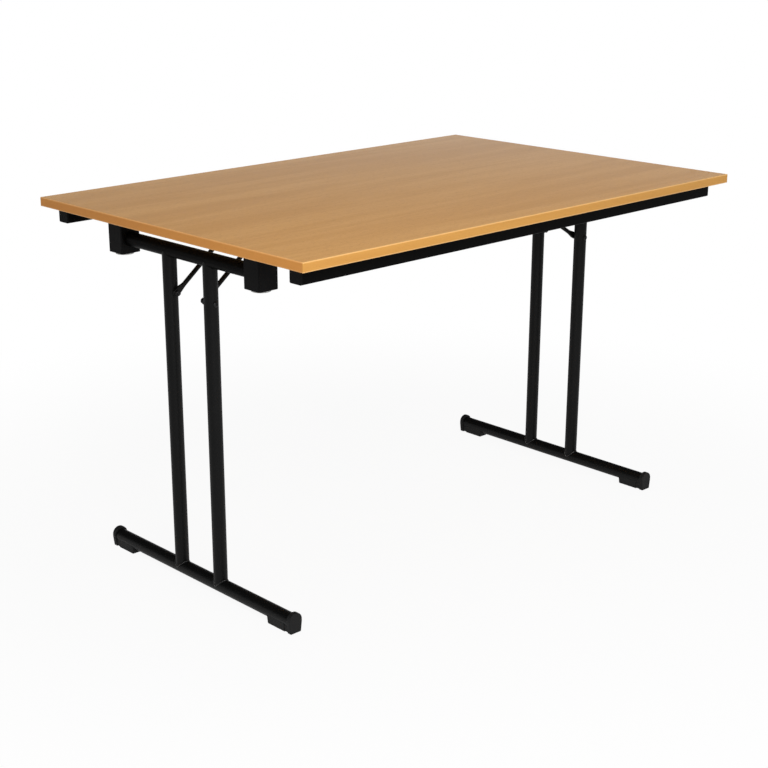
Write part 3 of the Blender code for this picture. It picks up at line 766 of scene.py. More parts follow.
coat.links.new(spread(coat, rubs, *RUB_LIMITS), coat_out.inputs["Rub"])
print("coat group:", len(coat.nodes), "nodes")


# %% Black, grey and plated finishes
def dark_finish(name, colour, rubbed, specular, strength, distance, metallic=0.0, **texture):
    """A coat, moulding or plating whose colour changes a little where the surface has been rubbed."""
    tree, shader, coordinates = new_finish(name)
    skin = place_group(tree, coat, coordinates, **texture)
    worn_colour = blend_colour(tree, skin.outputs["Rub"], colour, rubbed)
    tree.links.new(worn_colour, shader.inputs["Base Color"])
    tree.links.new(skin.outputs["Roughness"], shader.inputs["Roughness"])
    shader.inputs["Specular IOR Level"].default_value = specular
    shader.inputs["Metallic"].default_value = metallic
    bump(tree, shader, skin.outputs["Height"], strength, distance)


ORANGE_PEEL = {"Waves_per_metre": 620.0, "Grit_per_metre": 3600.0}
ETCHED_MOULD = {"Waves_per_metre": 1500.0, "Grit_per_metre": 5200.0, "Grit_share": 0.6}

dark_finish(
    "black_steel", (0.0026, 0.0026, 0.0026, 1.0), (0.0042, 0.0042, 0.0042, 1.0),
    specular=0.16, strength=0.25, distance=0.2 * MM,
    Grit_share=0.15, Least_roughness=0.36, Most_roughness=0.46, **ORANGE_PEEL,
)
dark_finish(
    "weld_steel", (0.0030, 0.0030, 0.0030, 1.0), (0.0060, 0.0060, 0.0058, 1.0),
    specular=0.6, strength=0.5, distance=0.3 * MM,
    Grit_share=0.3, Least_roughness=0.22, Most_roughness=0.34, **ORANGE_PEEL,
)
# A copy of the black coat that reflects far less. This is painted shade, so that the rails and the
# crossbar, which lie in the shade of the top, render darker than the columns.
dark_finish(
    "rail_steel", (0.0026, 0.0026, 0.0026, 1.0), (0.0040, 0.0040, 0.0040, 1.0),
    specular=0.035, strength=0.22, distance=0.2 * MM,
    Grit_share=0.15, Least_roughness=0.38, Most_roughness=0.48, **ORANGE_PEEL,
)
dark_finish(
    "black_plastic", (0.0030, 0.0030, 0.0031, 1.0), (0.0046, 0.0046, 0.0047, 1.0),
    specular=0.09, strength=0.3, distance=0.12 * MM,
    Least_roughness=0.5, Most_roughness=0.6, **ETCHED_MOULD,
)
dark_finish(
    "grey_plastic", (0.0100, 0.0100, 0.0100, 1.0), (0.0135, 0.0135, 0.0135, 1.0),
    specular=0.17, strength=0.3, distance=0.12 * MM,
    Least_roughness=0.52, Most_roughness=0.64, **ETCHED_MOULD,
)
dark_finish(
    "blackened_steel", (0.010, 0.010, 0.011, 1.0), (0.030, 0.030, 0.032, 1.0),
    specular=0.4, strength=0.2, distance=0.1 * MM, metallic=0.5, Waves_per_metre=900.0,
    Grit_per_metre=5200.0, Grit_share=0.4, Least_roughness=0.32, Most_roughness=0.44,
)
dark_finish(
    "zinc_steel", (0.52, 0.52, 0.50, 1.0), (0.42, 0.42, 0.38, 1.0),
    specular=0.5, strength=0.15, distance=0.1 * MM, metallic=1.0, Waves_per_metre=500.0,
    Grit_per_metre=4200.0, Grit_share=0.5, Least_roughness=0.28, Most_roughness=0.42,
)
dark_finish(
    "pad_rubber", (0.50, 0.50, 0.48, 1.0), (0.42, 0.42, 0.40, 1.0),
    specular=0.3, strength=0.4, distance=0.2 * MM, Waves_per_metre=900.0,
    Grit_per_metre=4500.0, Grit_share=0.8, Least_roughness=0.7, Most_roughness=0.85,
)
print("finishes:", ", ".join(FINISHES))

# %% [markdown]
# ## The board and its edge bands
#
# The board's solid is already right, so it only gets the beech. The bands are 2 mm strips glued to the
# edges and milled with a small radius, which is what catches the light along the rim. The long bands
# also round over at the corners of the table. A box with a Bevel modifier would round every edge alike,
# the glued ones too. So a band is its own section carried along the edge, and drawn in at the corners.

# %% Board
frame["nodes"]["table_top"].data.materials.clear()
frame["nodes"]["table_top"].data.materials.append(FINISHES["board_veneer"])
print("board:", len(frame["nodes"]["table_top"].data.vertices), "points, as in the solid")

# %% Edge bands
BAND_ROUND = 1.1 * MM
BAND_CORNER = 1.4 * MM
BAND_STEPS = 6


def band_grid(length, thickness, height, corner):
    """Section points are (out, up). Within a corner radius r of an end, the outer side draws in by
    r - sqrt(r * r - (r - s) ** 2), where s is the distance to that end."""
    radii = (0.0, BAND_ROUND, BAND_ROUND, 0.0)
    outline = rounded([(0, 0), (thickness, 0), (thickness, height), (0, height)], radii)
    near = corner * (1 - np.cos(quarter_turn(BAND_STEPS)))
    stations = np.concatenate([near, length - near[::-1]]) if corner else np.array([0.0, length])
    short = np.maximum(0.0, corner - np.minimum(stations, length - stations))
    draw = corner - np.sqrt(corner**2 - short**2)
    out = outline[None, :, 0] * (1 - draw[:, None] / thickness)
    along = np.broadcast_to((stations - length / 2)[:, None], out.shape)
    up = np.broadcast_to(outline[None, :, 1], out.shape)
    return along, out, up


for name in ("front", "rear", "left", "right"):
    node = f"edge_band_{name}"
    lowest, highest, _ = span(node)
    side = -1 if name in ("front", "left") else 1
    if name in ("front", "rear"):
        along, out, up = band_grid(*(highest - lowest), BAND_CORNER)
        inner = lowest[1] if side > 0 else highest[1]
        grid = np.stack([along, inner + side * out, lowest[2] + up], axis=-1)
    else:
        thickness, length, height = highest - lowest
        along, out, up = band_grid(length, thickness, height, 0.0)
        inner = lowest[0] if side > 0 else highest[0]
        grid = np.stack([inner + side * out, along, lowest[2] + up], axis=-1)
    finish = "edge_band" if name in ("front", "rear") else "edge_band_turned"
    stand_for(surface(f"band_{name}", grid), node, finish)
print(len(made), "pieces so far, the last with", len(along), "sections")

# %% [markdown]
# ## Rails and their caps
#
# A rail is a square tube, rolled with a small outside radius. Its lower wall has two round holes, which
# let a driver reach the screws in the upper wall. Holes could be part of the grid, but a grid with
# round holes in a flat wall is hard to lay out, so they are cut with a Boolean, which is then applied.
# A cap is a square plug and a head in one: the plug's section, then the head's, with its outer rim
# rounded.

# %% Rails
RAIL_ROUND = 2.5 * MM
RAIL_WALL = 1.5 * MM
RAIL_EDGE = 0.1 * MM
ACCESS_RADIUS = 5.5 * MM
SCREW_HOLE = 2.3 * MM
CAP_RIM = 0.9 * MM
CAP_BACK = 0.05 * MM
CAP_SEAT_GAP = 0.3 * MM
PLUG_PLAY = 0.3 * MM

for row in ENDS:
    node = f"rail_{row}"
    lowest, highest, middle = span(node)
    size = highest[1] - lowest[1]
    plug_size = size - 2 * (RAIL_WALL + PLUG_PLAY)
    outer = rectangle(size, size, RAIL_ROUND)
    inner = rectangle(size - 2 * RAIL_WALL, size - 2 * RAIL_WALL, RAIL_ROUND - RAIL_WALL)
    plug = rectangle(plug_size, plug_size, RAIL_ROUND - RAIL_WALL)
    line = (0.0, middle[1], middle[2])
    grid = pipe(outer, inner, lowest[0], highest[0], RAIL_EDGE, "X")
    rail = surface(f"rail_tube_{row}", shift(grid, line), ring=True)
    holes = []
    for end in SIDES:
        _, _, screw = span(f"rail_screw_{row}_{end}")
        centre = (screw[0], middle[1], middle[2])
        holes += [(ACCESS_RADIUS, "Z", -size, 0.0, centre), (SCREW_HOLE, "Z", 0.0, size, centre)]
    # The rail takes the shaded copy of the black coat: painted shade under the top.
    stand_for(bored(rail, *holes), node, "rail_steel")

    for end, side in SIDES.items():
        cap = f"rail_cap_{row}_{end}"
        cap_low, cap_high, _ = span(cap)
        root, tip = (cap_high[0], cap_low[0]) if side < 0 else (cap_low[0], cap_high[0])
        seat = (lowest[0] if side < 0 else highest[0]) + side * CAP_SEAT_GAP
        stem = [section(plug, root, "X"), section(plug, seat, "X")]
        head = soft_bar(outer, seat, tip, CAP_BACK, CAP_RIM, "X")
        stand_for(surface(f"rail_end_{row}_{end}", shift(np.concatenate([stem, head]), line)), cap)
print(len(made), "pieces so far; the rails are", round(size / MM, 1), "mm square")

# %% [markdown]
# ## Pivot blocks
#
# A block carries one end of the crossbar. It is a moulded block with rounded upright edges and a
# softened lower rim. Its bearing bore starts at the inner face and stops inside, with a mouth that
# widens to let the bar in, and a screw recess rises from below beside it. The outside could be one grid
# and the bores others. Cuts from a plain bar are shorter to write, and as clean.

# %% Pivot blocks
BLOCK_ROUND = 3.0 * MM
BLOCK_RIM = 1.3 * MM
BLOCK_TOP_RIM = 0.2 * MM
BEARING_PLAY = 0.3 * MM
BORE_CHAMFER = 0.8 * MM
BORE_COUNT = 96
RECESS_RADIUS = 4.3 * MM
RECESS_PAST_HEAD = 2.5 * MM
RECESS_OVERLAP = 2.0 * MM
PEG_HOLE = 2.8 * MM
PEG_GAP = 0.3 * MM


def bearing_bore(bar_radius, mouth, floor, across):
    """The turned bore: a cone that widens past the mouth, then a straight bore to its floor."""
    radius = bar_radius + BEARING_PLAY
    profile = [
        (radius + 2 * BORE_CHAMFER, mouth - across * BORE_CHAMFER),
        (radius, mouth + across * BORE_CHAMFER),
        (radius, floor),
    ]
    return turned(profile, BORE_COUNT, "Y")


for side_name in SIDES:
    bar_low, bar_high, bar = span(f"{side_name}_crossbar")
    for end, across in ENDS.items():
        tag = f"{side_name}_{end}"
        lowest, highest, middle = span(f"pivot_block_{tag}")
        outline = rectangle(highest[0] - lowest[0], highest[1] - lowest[1], BLOCK_ROUND)
        solid = soft_bar(outline, lowest[2], highest[2], BLOCK_RIM, BLOCK_TOP_RIM, "Z")
        block = surface(f"block_{tag}", shift(solid, (middle[0], middle[1], 0.0)))
        mouth = lowest[1] if across > 0 else highest[1]
        bore_floor = (bar_high[1] if across > 0 else bar_low[1]) + across * BEARING_PLAY
        bore = bearing_bore((bar_high[2] - bar_low[2]) / 2, mouth, bore_floor, across)
        combine(block, [surface("bore", shift(bore, (bar[0], 0.0, bar[2])))], "DIFFERENCE")

        screw_low, _, screw = span(f"block_screw_{tag}")
        _, pad_high, pad = span(f"stacking_pad_{tag}")
        under, over = lowest[2] - OVERSHOOT, highest[2] + OVERSHOOT
        recess_top = screw_low[2] + RECESS_PAST_HEAD
        foot_of_screw, foot_of_pad = (screw[0], screw[1], 0.0), (pad[0], pad[1], 0.0)
        bored(
            block,
            (RECESS_RADIUS, "Z", under, recess_top, foot_of_screw),
            (SCREW_HOLE, "Z", recess_top - RECESS_OVERLAP, over, foot_of_screw),
            (PEG_HOLE, "Z", under, pad_high[2] + PEG_GAP, foot_of_pad),
        )
        stand_for(block, f"pivot_block_{tag}")
print(len(made), "pieces so far; a block has", len(block.data.polygons), "faces")

# %% [markdown]
# ## Stacking pads
#
# The pads keep folded tables apart when they are stacked. A pad is turned: a thin disc with a soft rim
# and a peg above it, pressed into the block. Its profile is a short list of (radius, height) pairs,
# which is all that a turned piece needs.

# %% Stacking pads
PAD_SOFT = 0.9 * MM
PAD_STEPS = 6
PAD_DISH = 0.15 * MM
PAD_DISH_SHARE = 0.3
PAD_TOP_EDGE = 0.3 * MM
PAD_SEAT_GAP = 0.3 * MM
PEG_RADIUS = 2.5 * MM
PAD_COUNT = 72

for side_name in SIDES:
    for end in ENDS:
        tag = f"{side_name}_{end}"
        block_low, _, _ = span(f"pivot_block_{tag}")
        lowest, highest, middle = span(f"stacking_pad_{tag}")
        radius, seat = (highest[0] - lowest[0]) / 2, block_low[2] - PAD_SEAT_GAP
        profile = [
            (PAD_DISH_SHARE * radius, lowest[2] + PAD_DISH),
            (radius - 3 * PAD_SOFT, lowest[2]),
            *[(radius - draw, place) for draw, place in soft_rim(PAD_SOFT, lowest[2], 1.0, PAD_STEPS)],
            (radius, seat - PAD_TOP_EDGE),
            (radius - PAD_TOP_EDGE, seat),
            (PEG_RADIUS, seat),
            (PEG_RADIUS, highest[2]),
        ]
        grid = shift(turned(profile, PAD_COUNT, "Z"), (middle[0], middle[1], 0.0))
        stand_for(surface(f"pad_{tag}", grid), f"stacking_pad_{tag}")
print(len(made), "pieces so far; a pad is", round(2 * radius / MM, 1), "mm across")

# %% [markdown]
# ## Leg frames
#
# Each frame is four pieces of one round tube, welded together. The columns are coped: their ends follow
# the round of the tube that they meet. A Boolean could cut them, but the cope has a formula. At an angle
# a round the column its wall is at x = r cos a, and the other tube's surface there is
# sqrt(R * R - x * x) from that tube's axis. The weld bead is a small round section carried along that
# same curve.

# %% Columns
TUBE_WALL = 1.5 * MM
TUBE_COUNT = 96
TUBE_EDGE = 0.2 * MM
COLUMN_ROWS = 3
COPE_GAP = 0.1 * MM
BOLT_HOLE = 3.3 * MM


def cope_height(x, radius):
    """A lying tube's height over its axis: sqrt(radius ** 2 - x ** 2), or zero outside the tube."""
    return np.sqrt(np.maximum(radius**2 - x**2, 0.0))


def column_grid(radius, place, foot_axis, bar_axis, cope_radius):
    """Outside up, then bore down, for each angle round the column, between the two copes."""
    angle = whole_turn(TUBE_COUNT)
    rows = []
    for r, shares in ((radius, np.linspace(0, 1, COLUMN_ROWS)), (radius - TUBE_WALL, (1.0, 0.0))):
        x, y = r * np.cos(angle), r * np.sin(angle)
        bottom = foot_axis + cope_height(x, cope_radius)
        top = bar_axis - cope_height(x, cope_radius)
        for share in shares:
            rows.append(np.stack([place[0] + x, place[1] + y, bottom + share * (top - bottom)], axis=1))
    return np.array(rows)


print("a column's grid has", COLUMN_ROWS + 2, "rows of", TUBE_COUNT, "points")

# %% Weld beads
WELD_BEADS = {"crossbar": 0.6 * MM, "foot_tube": 1.9 * MM}
# The crossbar's weld takes the shaded copy of the black coat: painted shade under the top.
WELD_FINISHES = {"crossbar": "rail_steel", "foot_tube": "weld_steel"}
WELD_THINNING = 0.45
WELD_COUNT = 240
BEAD_COUNT = 14
RIPPLES = ((0.10, 40), (0.05, 7))


def weld_grid(radius, tube_radius, place, tube_axis, way, bead, seed):
    """A ring of small circles along the cope's curve, each square to the curve. Their size ripples, and
    falls by a share of cos(angle) ** 2 towards the two sides where column and tube are flush."""
    angle = whole_turn(WELD_COUNT)
    x, y = radius * np.cos(angle), radius * np.sin(angle)
    z = way * cope_height(x, tube_radius)
    curve = np.stack([x, y, z], axis=1)
    tangent = unit_rows(np.roll(curve, -1, axis=0) - np.roll(curve, 1, axis=0))
    from_column = np.stack([np.cos(angle), np.sin(angle), np.zeros(WELD_COUNT)], axis=1)
    from_tube = np.stack([x, np.zeros(WELD_COUNT), z], axis=1) / tube_radius
    outward = from_column + from_tube
    outward -= tangent * np.sum(outward * tangent, axis=1, keepdims=True)
    outward = unit_rows(outward)
    sideways = np.cross(tangent, outward)
    ripple = sum(
        share * np.sin(waves * angle + (i + 1) * seed) for i, (share, waves) in enumerate(RIPPLES)
    )
    size = bead * (1 + ripple) * (1 - WELD_THINNING * np.cos(angle) ** 2)
    around = whole_turn(BEAD_COUNT)[None, :, None]
    spoke = np.cos(around) * outward[:, None, :] + np.sin(around) * sideways[:, None, :]
    grid = curve[:, None, :] + size[:, None, None] * spoke
    return shift(grid, (place[0], place[1], tube_axis))


print("weld beads:", {kind: round(bead / MM, 1) for kind, bead in WELD_BEADS.items()}, "mm")

# %% Leg frames
# The crossbar takes the shaded copy of the black coat, as painted shade under the top. The foot tube
# takes the coat itself.
TUBE_FINISHES = {"crossbar": "rail_steel", "foot_tube": "black_steel"}

for side_name in SIDES:
    body = f"{side_name}_leg_frame"
    axes = {}
    for kind, finish in TUBE_FINISHES.items():
        lowest, highest, middle = span(f"{side_name}_{kind}")
        tube_radius = (highest[2] - lowest[2]) / 2
        outer = circle(tube_radius, TUBE_COUNT)
        inner = circle(tube_radius - TUBE_WALL, TUBE_COUNT)
        grid = shift(
            pipe(outer, inner, lowest[1], highest[1], TUBE_EDGE, "Y"), (middle[0], 0.0, middle[2])
        )
        obj = surface(f"{side_name}_{kind}_steel", grid, ring=True)
        stand_for(obj, f"{side_name}_{kind}", finish)
        axes[kind] = middle[2]
    for index, end in enumerate(ENDS):
        node = f"{side_name}_column_{end}"
        lowest, highest, middle = span(node)
        radius = (highest[1] - lowest[1]) / 2
        cope_radius = tube_radius + COPE_GAP
        grid = column_grid(radius, middle, axes["foot_tube"], axes["crossbar"], cope_radius)
        column = surface(f"{side_name}_column_{end}_steel", grid, ring=True)
        _, _, bolt = span(f"{side_name}_pivot_bolt_{end}")
        bore_from, bore_to = middle[1] - 2 * radius, middle[1] + 2 * radius
        bored(column, (BOLT_HOLE, "Y", bore_from, bore_to, (bolt[0], 0.0, bolt[2])))
        stand_for(column, node)
        for kind, way in (("crossbar", -1), ("foot_tube", 1)):
            bead = WELD_BEADS[kind]
            grid = weld_grid(radius, tube_radius, middle, axes[kind], way, bead, index + way)
            weld = surface(f"{side_name}_weld_{end}_{kind}", grid, ring=True, sharp=math.pi)
            dress(weld, body, WELD_FINISHES[kind])
print(len(made), "pieces so far; the columns are", round(2 * radius / MM, 1), "mm across")

# %% [markdown]
# ## Foot caps
#
# Each end of a foot tube wears a grey moulding. Seen from the end its head is an arch over the tube,
# with sides that run in to a narrow sole. Behind it a saddle, whose inner end slants, cradles the
# underside of the tube, and a slightly thinner neck joins the two. One outline can't be carried through
# all three, because they differ in shape. They are simple bars with different outlines, joined with a
# Boolean, with the tube's round cut from the saddle.

# %% Outlines of the foot caps
CAP_ARCH = 15.5 * MM
CAP_ARCH_HEIGHT = 25.5 * MM
CAP_ARCH_STEPS = 48
CAP_SHOULDER = 20.5 * MM
SOLE_HALF = 12.8 * MM
SOLE_ROUND = 2.4 * MM
SADDLE_HALF = 13.5 * MM
SADDLE_HEIGHT = 18.5 * MM
SADDLE_RIM = 1.3 * MM


def head_outline():
    """Counter-clockwise from the sole: out along the sole, up the right side, over the arch, down."""
    arch = arc(np.array([0.0, CAP_ARCH_HEIGHT]), CAP_ARCH, 0.0, np.pi, CAP_ARCH_STEPS + 1)
    sole = rounded(
        [(-CAP_ARCH, CAP_SHOULDER), (-SOLE_HALF, 0.0), (SOLE_HALF, 0.0), (CAP_ARCH, CAP_SHOULDER)],
        (0.0, SOLE_ROUND, SOLE_ROUND, 0.0),
    )
    return np.concatenate([sole, arch])


def saddle_outline(relief):
    """The saddle's end view, or the neck's, which is drawn in by its relief."""
    corners = [
        (-SOLE_HALF + relief, relief),
        (SOLE_HALF - relief, relief),
        (SADDLE_HALF - relief, SADDLE_HEIGHT),
        (-SADDLE_HALF + relief, SADDLE_HEIGHT),
    ]
    return rounded(corners, (SOLE_ROUND, SOLE_ROUND, SADDLE_RIM, SADDLE_RIM))


print("a cap's head has", len(head_outline()), "points round it, its saddle", len(saddle_outline(0.0)))

# %% Foot caps
CAP_RIM_FRONT = 1.2 * MM
CAP_RIM_BACK = 0.5 * MM
CAP_FACE_GAP = 0.3 * MM
CAP_TUBE_PLAY = 0.2 * MM
CAP_OVERLAP = 3.0 * MM
SADDLE_SLANT = 2.5 * MM
SADDLE_RIM_NECK = 0.4 * MM
SADDLE_RIM_INNER = 1.2 * MM
NECK_RELIEF = 1.0 * MM
NECK_LENGTH = 10.5 * MM
NECK_OVERLAP = 1.0 * MM
INSERT_PLAY = 0.3 * MM
INSERT_WALL = 2.0 * MM
INSERT_LENGTH = 22.0 * MM
INSERT_EDGE = 0.2 * MM
INSERT_COUNT = 64


def saddle_and_neck(face, back, across, at):
    """The saddle, its inner end moved by slant * (1 - height / full height), joined to its neck."""
    neck_end = face - across * NECK_LENGTH
    grid = soft_bar(saddle_outline(0.0), neck_end, back, SADDLE_RIM_NECK, SADDLE_RIM_INNER, "Y")
    slanted = slice(len(grid) // 2, None)
    grid[slanted, :, 1] += across * SADDLE_SLANT * (1 - grid[slanted, :, 2] / SADDLE_HEIGHT)
    places = (face + across * CAP_OVERLAP, neck_end - across * NECK_OVERLAP)
    neck = np.array([section(saddle_outline(NECK_RELIEF), place, "Y") for place in places])
    return combine(surface("saddle", shift(grid, at)), [surface("neck", shift(neck, at))], "UNION")


for side_name in SIDES:
    tube_low, tube_high, tube = span(f"{side_name}_foot_tube")
    tube_radius = (tube_high[2] - tube_low[2]) / 2
    for end, across in ENDS.items():
        node = f"{side_name}_foot_cap_{end}"
        lowest, highest, middle = span(node)
        tip, back = (lowest[1], highest[1]) if across < 0 else (highest[1], lowest[1])
        face = (tube_low[1] if across < 0 else tube_high[1]) + across * CAP_FACE_GAP
        on_floor, on_axis = (middle[0], 0.0, 0.0), (middle[0], 0.0, tube[2])
        head = soft_bar(head_outline(), face, tip, CAP_RIM_BACK, CAP_RIM_FRONT, "Y")
        cap = surface(f"{side_name}_foot_end_{end}", shift(head, on_floor))
        saddle = saddle_and_neck(face, back, across, on_floor)
        space = [(tube_radius + CAP_TUBE_PLAY, place) for place in (face, back - across * OVERSHOOT)]
        cutter = surface("space", shift(turned(space, TUBE_COUNT, "Y"), on_axis))
        combine(saddle, [cutter], "DIFFERENCE")
        insert_radius = tube_radius - TUBE_WALL - INSERT_PLAY
        outer = circle(insert_radius, INSERT_COUNT)
        inner = circle(insert_radius - INSERT_WALL, INSERT_COUNT)
        insert_ends = sorted((face + across * CAP_OVERLAP, face - across * INSERT_LENGTH))
        insert_grid = pipe(outer, inner, *insert_ends, INSERT_EDGE, "Y")
        insert = surface("insert", shift(insert_grid, on_axis), ring=True)
        combine(cap, [saddle, insert], "UNION")
        stand_for(cap, node)
print(len(made), "pieces so far; a foot cap has", len(cap.data.polygons), "faces")

# %% [markdown]
# ## Stays
#
# A strut is a round rod whose ends are pressed flat into eyes. It could be a rod and two discs joined,
# but pressed steel flows from one into the other. So its section is a superellipse, whose width,
# thickness and place change along the rod: width swells to the eye while the thickness shrinks. The end
# of the eye is a half circle, so the width there follows sqrt(r * r - u * u). The holes are cut
# afterwards. Both struts of a pair are joined by a cross rod.

# %% Struts
EYE_RADIUS = 6.8 * MM
EYE_HALF = 3.0 * MM
EYE_FLAT = 6.5 * MM
EYE_BLEND = 24.0 * MM
EYE_POWER = 0.28
EYE_FIRST_ANGLE = 0.02
TIP_ROWS = 12
BLEND_ROWS = 20
STRUT_COUNT = 40
STRUT_SWELL = 0.7 * MM


def strut_grid(length, rod_radius, eye_y, rod_y):
    """Rows along u, from one eye's tip to the other's. Each row is an oval whose half width w and half
    thickness t come from the distance to the nearer eye's centre."""
    tip = -EYE_RADIUS * np.cos(np.linspace(EYE_FIRST_ANGLE, np.pi / 2, TIP_ROWS))
    swell = np.linspace(0.0, EYE_BLEND, BLEND_ROWS)[1:]
    stations = np.concatenate([tip, swell, length - swell[::-1], length - tip[::-1]])
    nearer = np.minimum(stations, length - stations)
    ease = np.clip((nearer - EYE_FLAT) / (EYE_BLEND - EYE_FLAT), 0.0, 1.0)
    ease = ease * ease * (3 - 2 * ease)
    full = np.sqrt(np.maximum(EYE_RADIUS**2 - np.minimum(nearer, 0.0) ** 2, 0.0))
    half_width = full + (rod_radius - full) * ease
    half_thick = EYE_HALF + (rod_radius - EYE_HALF) * ease
    middle = eye_y + (rod_y - eye_y) * ease
    power = (EYE_POWER + (1 - EYE_POWER) * ease)[:, None]
    c, s = circle(1.0, STRUT_COUNT).T[:, None, :]
    across = np.sign(c) * np.abs(c) ** power * half_thick[:, None] + middle[:, None]
    up = np.sign(s) * np.abs(s) ** power * half_width[:, None]
    along = np.broadcast_to(stations[:, None], across.shape)
    return np.stack([along, across, up], axis=-1)


def swung(grid, pivot, slope, side):
    """Turns a strut from lying along u to its slope at the pivot, mirrored for the right-hand frame."""
    u, y, w = grid[..., 0], grid[..., 1], grid[..., 2]
    x = u * math.cos(slope) - w * math.sin(slope)
    z = u * math.sin(slope) + w * math.cos(slope)
    return np.stack([pivot[0] - side * x, y, pivot[2] + z], axis=-1)


print("a strut has", 2 * (TIP_ROWS + BLEND_ROWS - 1), "rows of", STRUT_COUNT, "points")

# %% Struts and cross rods
JOINTS = {joint["name"]: joint for joint in RECORD["behaviour"]["joints"]}
ROD_HOLE_PLAY = 0.2 * MM
ROD_RIM = 0.8 * MM
ROD_STEPS = 4
ROD_COUNT = 40

for side_name, side in SIDES.items():
    pivot = np.array(JOINTS[f"{side_name}_stay_swing"]["pos_m"])
    rod_low, rod_high, rod = span(f"{side_name}_stay_rod")
    rod_radius = (rod_high[2] - rod_low[2]) / 2
    reach_u, reach_w = abs(rod[0] - pivot[0]), rod[2] - pivot[2]
    length, slope = math.hypot(reach_u, reach_w), math.atan2(reach_w, reach_u)
    for end, across in ENDS.items():
        node = f"{side_name}_strut_{end}"
        lowest, highest, _ = span(node)
        inner_y, outer_y = (lowest[1], highest[1]) if across > 0 else (highest[1], lowest[1])
        eye_y, rod_y = outer_y - across * EYE_HALF, inner_y + across * rod_radius
        grid = strut_grid(length, rod_radius + STRUT_SWELL, eye_y, rod_y)
        strut = surface(f"{side_name}_strut_{end}_steel", swung(grid, pivot, slope, side))
        hole_ends = (outer_y - 2 * OVERSHOOT, outer_y + 2 * OVERSHOOT)
        holes = [
            (radius, "Y", *hole_ends, (centre[0], 0.0, centre[2]))
            for centre, radius in ((pivot, BOLT_HOLE), (rod, rod_radius + ROD_HOLE_PLAY))
        ]
        stand_for(bored(strut, *holes), node)
    near = [(rod_radius - draw, y) for draw, y in soft_rim(ROD_RIM, rod_low[1], 1.0, ROD_STEPS)]
    profile = near + [(radius, -y) for radius, y in near[::-1]]
    grid = shift(turned(profile, ROD_COUNT, "Y"), (rod[0], 0.0, rod[2]))
    stand_for(surface(f"{side_name}_cross_rod", grid), f"{side_name}_stay_rod")
    rise = round(math.degrees(slope), 1)
    print(side_name, "stay:", round(length / MM, 1), "mm long, rising at", rise, "degrees")

# %% [markdown]
# ## Bolts and nuts
#
# A hexagon's half width at an angle a is h / cos(a), taken within each sixth of a turn. A nut's corners
# are cut back by a cone, so the height of its flank falls where that half width passes the cone. A
# thread is a turned shank whose radius follows a triangle wave of place and angle together. Wound as a
# screw surface it would be exact. As a wave of the radius it closes without a seam, and looks the same.

# %% Nuts and threads
NUT_BORE = 3.15 * MM
NUT_CHAMFER = 0.4 * MM
NUT_CONE_SHARE = 0.98
NUT_CONE_SLOPE = math.tan(math.radians(30))
NUT_COUNT = 72
ROWS_PER_PITCH = 6
FADE_ROWS = 3


def nut_grid(flats, start, end):
    """Out over one face, along the flanks, in over the other face, and back through the bore. The
    flanks' radius is half the flats / cos(angle within a sixth of a turn)."""
    angle = whole_turn(NUT_COUNT)
    sixth = np.pi / 3
    within = (angle + sixth / 2) % sixth - sixth / 2
    hexagon = flats / 2 / np.cos(within)
    cone = flats / 2 * NUT_CONE_SHARE
    drop = np.maximum(0.0, hexagon - cone) * NUT_CONE_SLOPE
    rows = (
        (NUT_BORE + NUT_CHAMFER, start),
        (cone, start),
        (hexagon, start + drop),
        (hexagon, end - drop),
        (cone, end),
        (NUT_BORE + NUT_CHAMFER, end),
        (NUT_BORE, end - NUT_CHAMFER),
        (NUT_BORE, start + NUT_CHAMFER),
    )
    u, v = circle(1.0, NUT_COUNT).T
    flat = np.zeros(NUT_COUNT)
    return np.array([np.stack([r * u, y + flat, r * v], axis=1) for r, y in rows])


def thread_grid(radius, depth, pitch, start, end, count, axis):
    """A shank whose radius is radius - depth * triangle(place / pitch + share of a turn), which makes a
    helix. The thread fades out at both ends."""
    rows = max(4, int(abs(end - start) / pitch * ROWS_PER_PITCH))
    place = np.linspace(start, end, rows)[:, None]
    phase = (place / pitch + np.arange(count) / count) % 1.0
    tooth = np.abs(2 * phase - 1)
    nearer = np.minimum(np.arange(rows), np.arange(rows)[::-1])
    fade = np.minimum(1.0, nearer / FADE_ROWS)[:, None]
    u, v = (radius - depth * tooth * fade) * circle(1.0, count).T[:, None, :]
    w = np.broadcast_to(place, tooth.shape)
    order = {"Y": (u, w, v), "Z": (u, v, w)}[axis]
    return np.stack(order, axis=-1)


print("a thread has", ROWS_PER_PITCH, "rows to a turn, and a nut", NUT_COUNT, "points round it")

# %% Bolts and nuts on the columns
BOLT_COUNT = 48
BOLT_SHANK = 3.0 * MM
BOLT_PLAIN = 32.0 * MM
BOLT_PITCH = 1.0 * MM
BOLT_THREAD_DEPTH = 0.35 * MM
BOLT_POINT = 0.5 * MM
BOLT_POINT_DRAW = 0.6 * MM
HEAD_HEIGHT = 3.5 * MM
HEAD_FLANK = 0.4 * MM
HEAD_CROWN = 2.4 * MM
HEAD_ANGLES = np.linspace(0.32, np.pi / 2, 9)
SOCKET_RADIUS = 2.3 * MM
SOCKET_FLOOR = 0.9 * MM
SOCKET_SIDES = 6
SOCKET_OVERSHOOT = 2.0 * MM


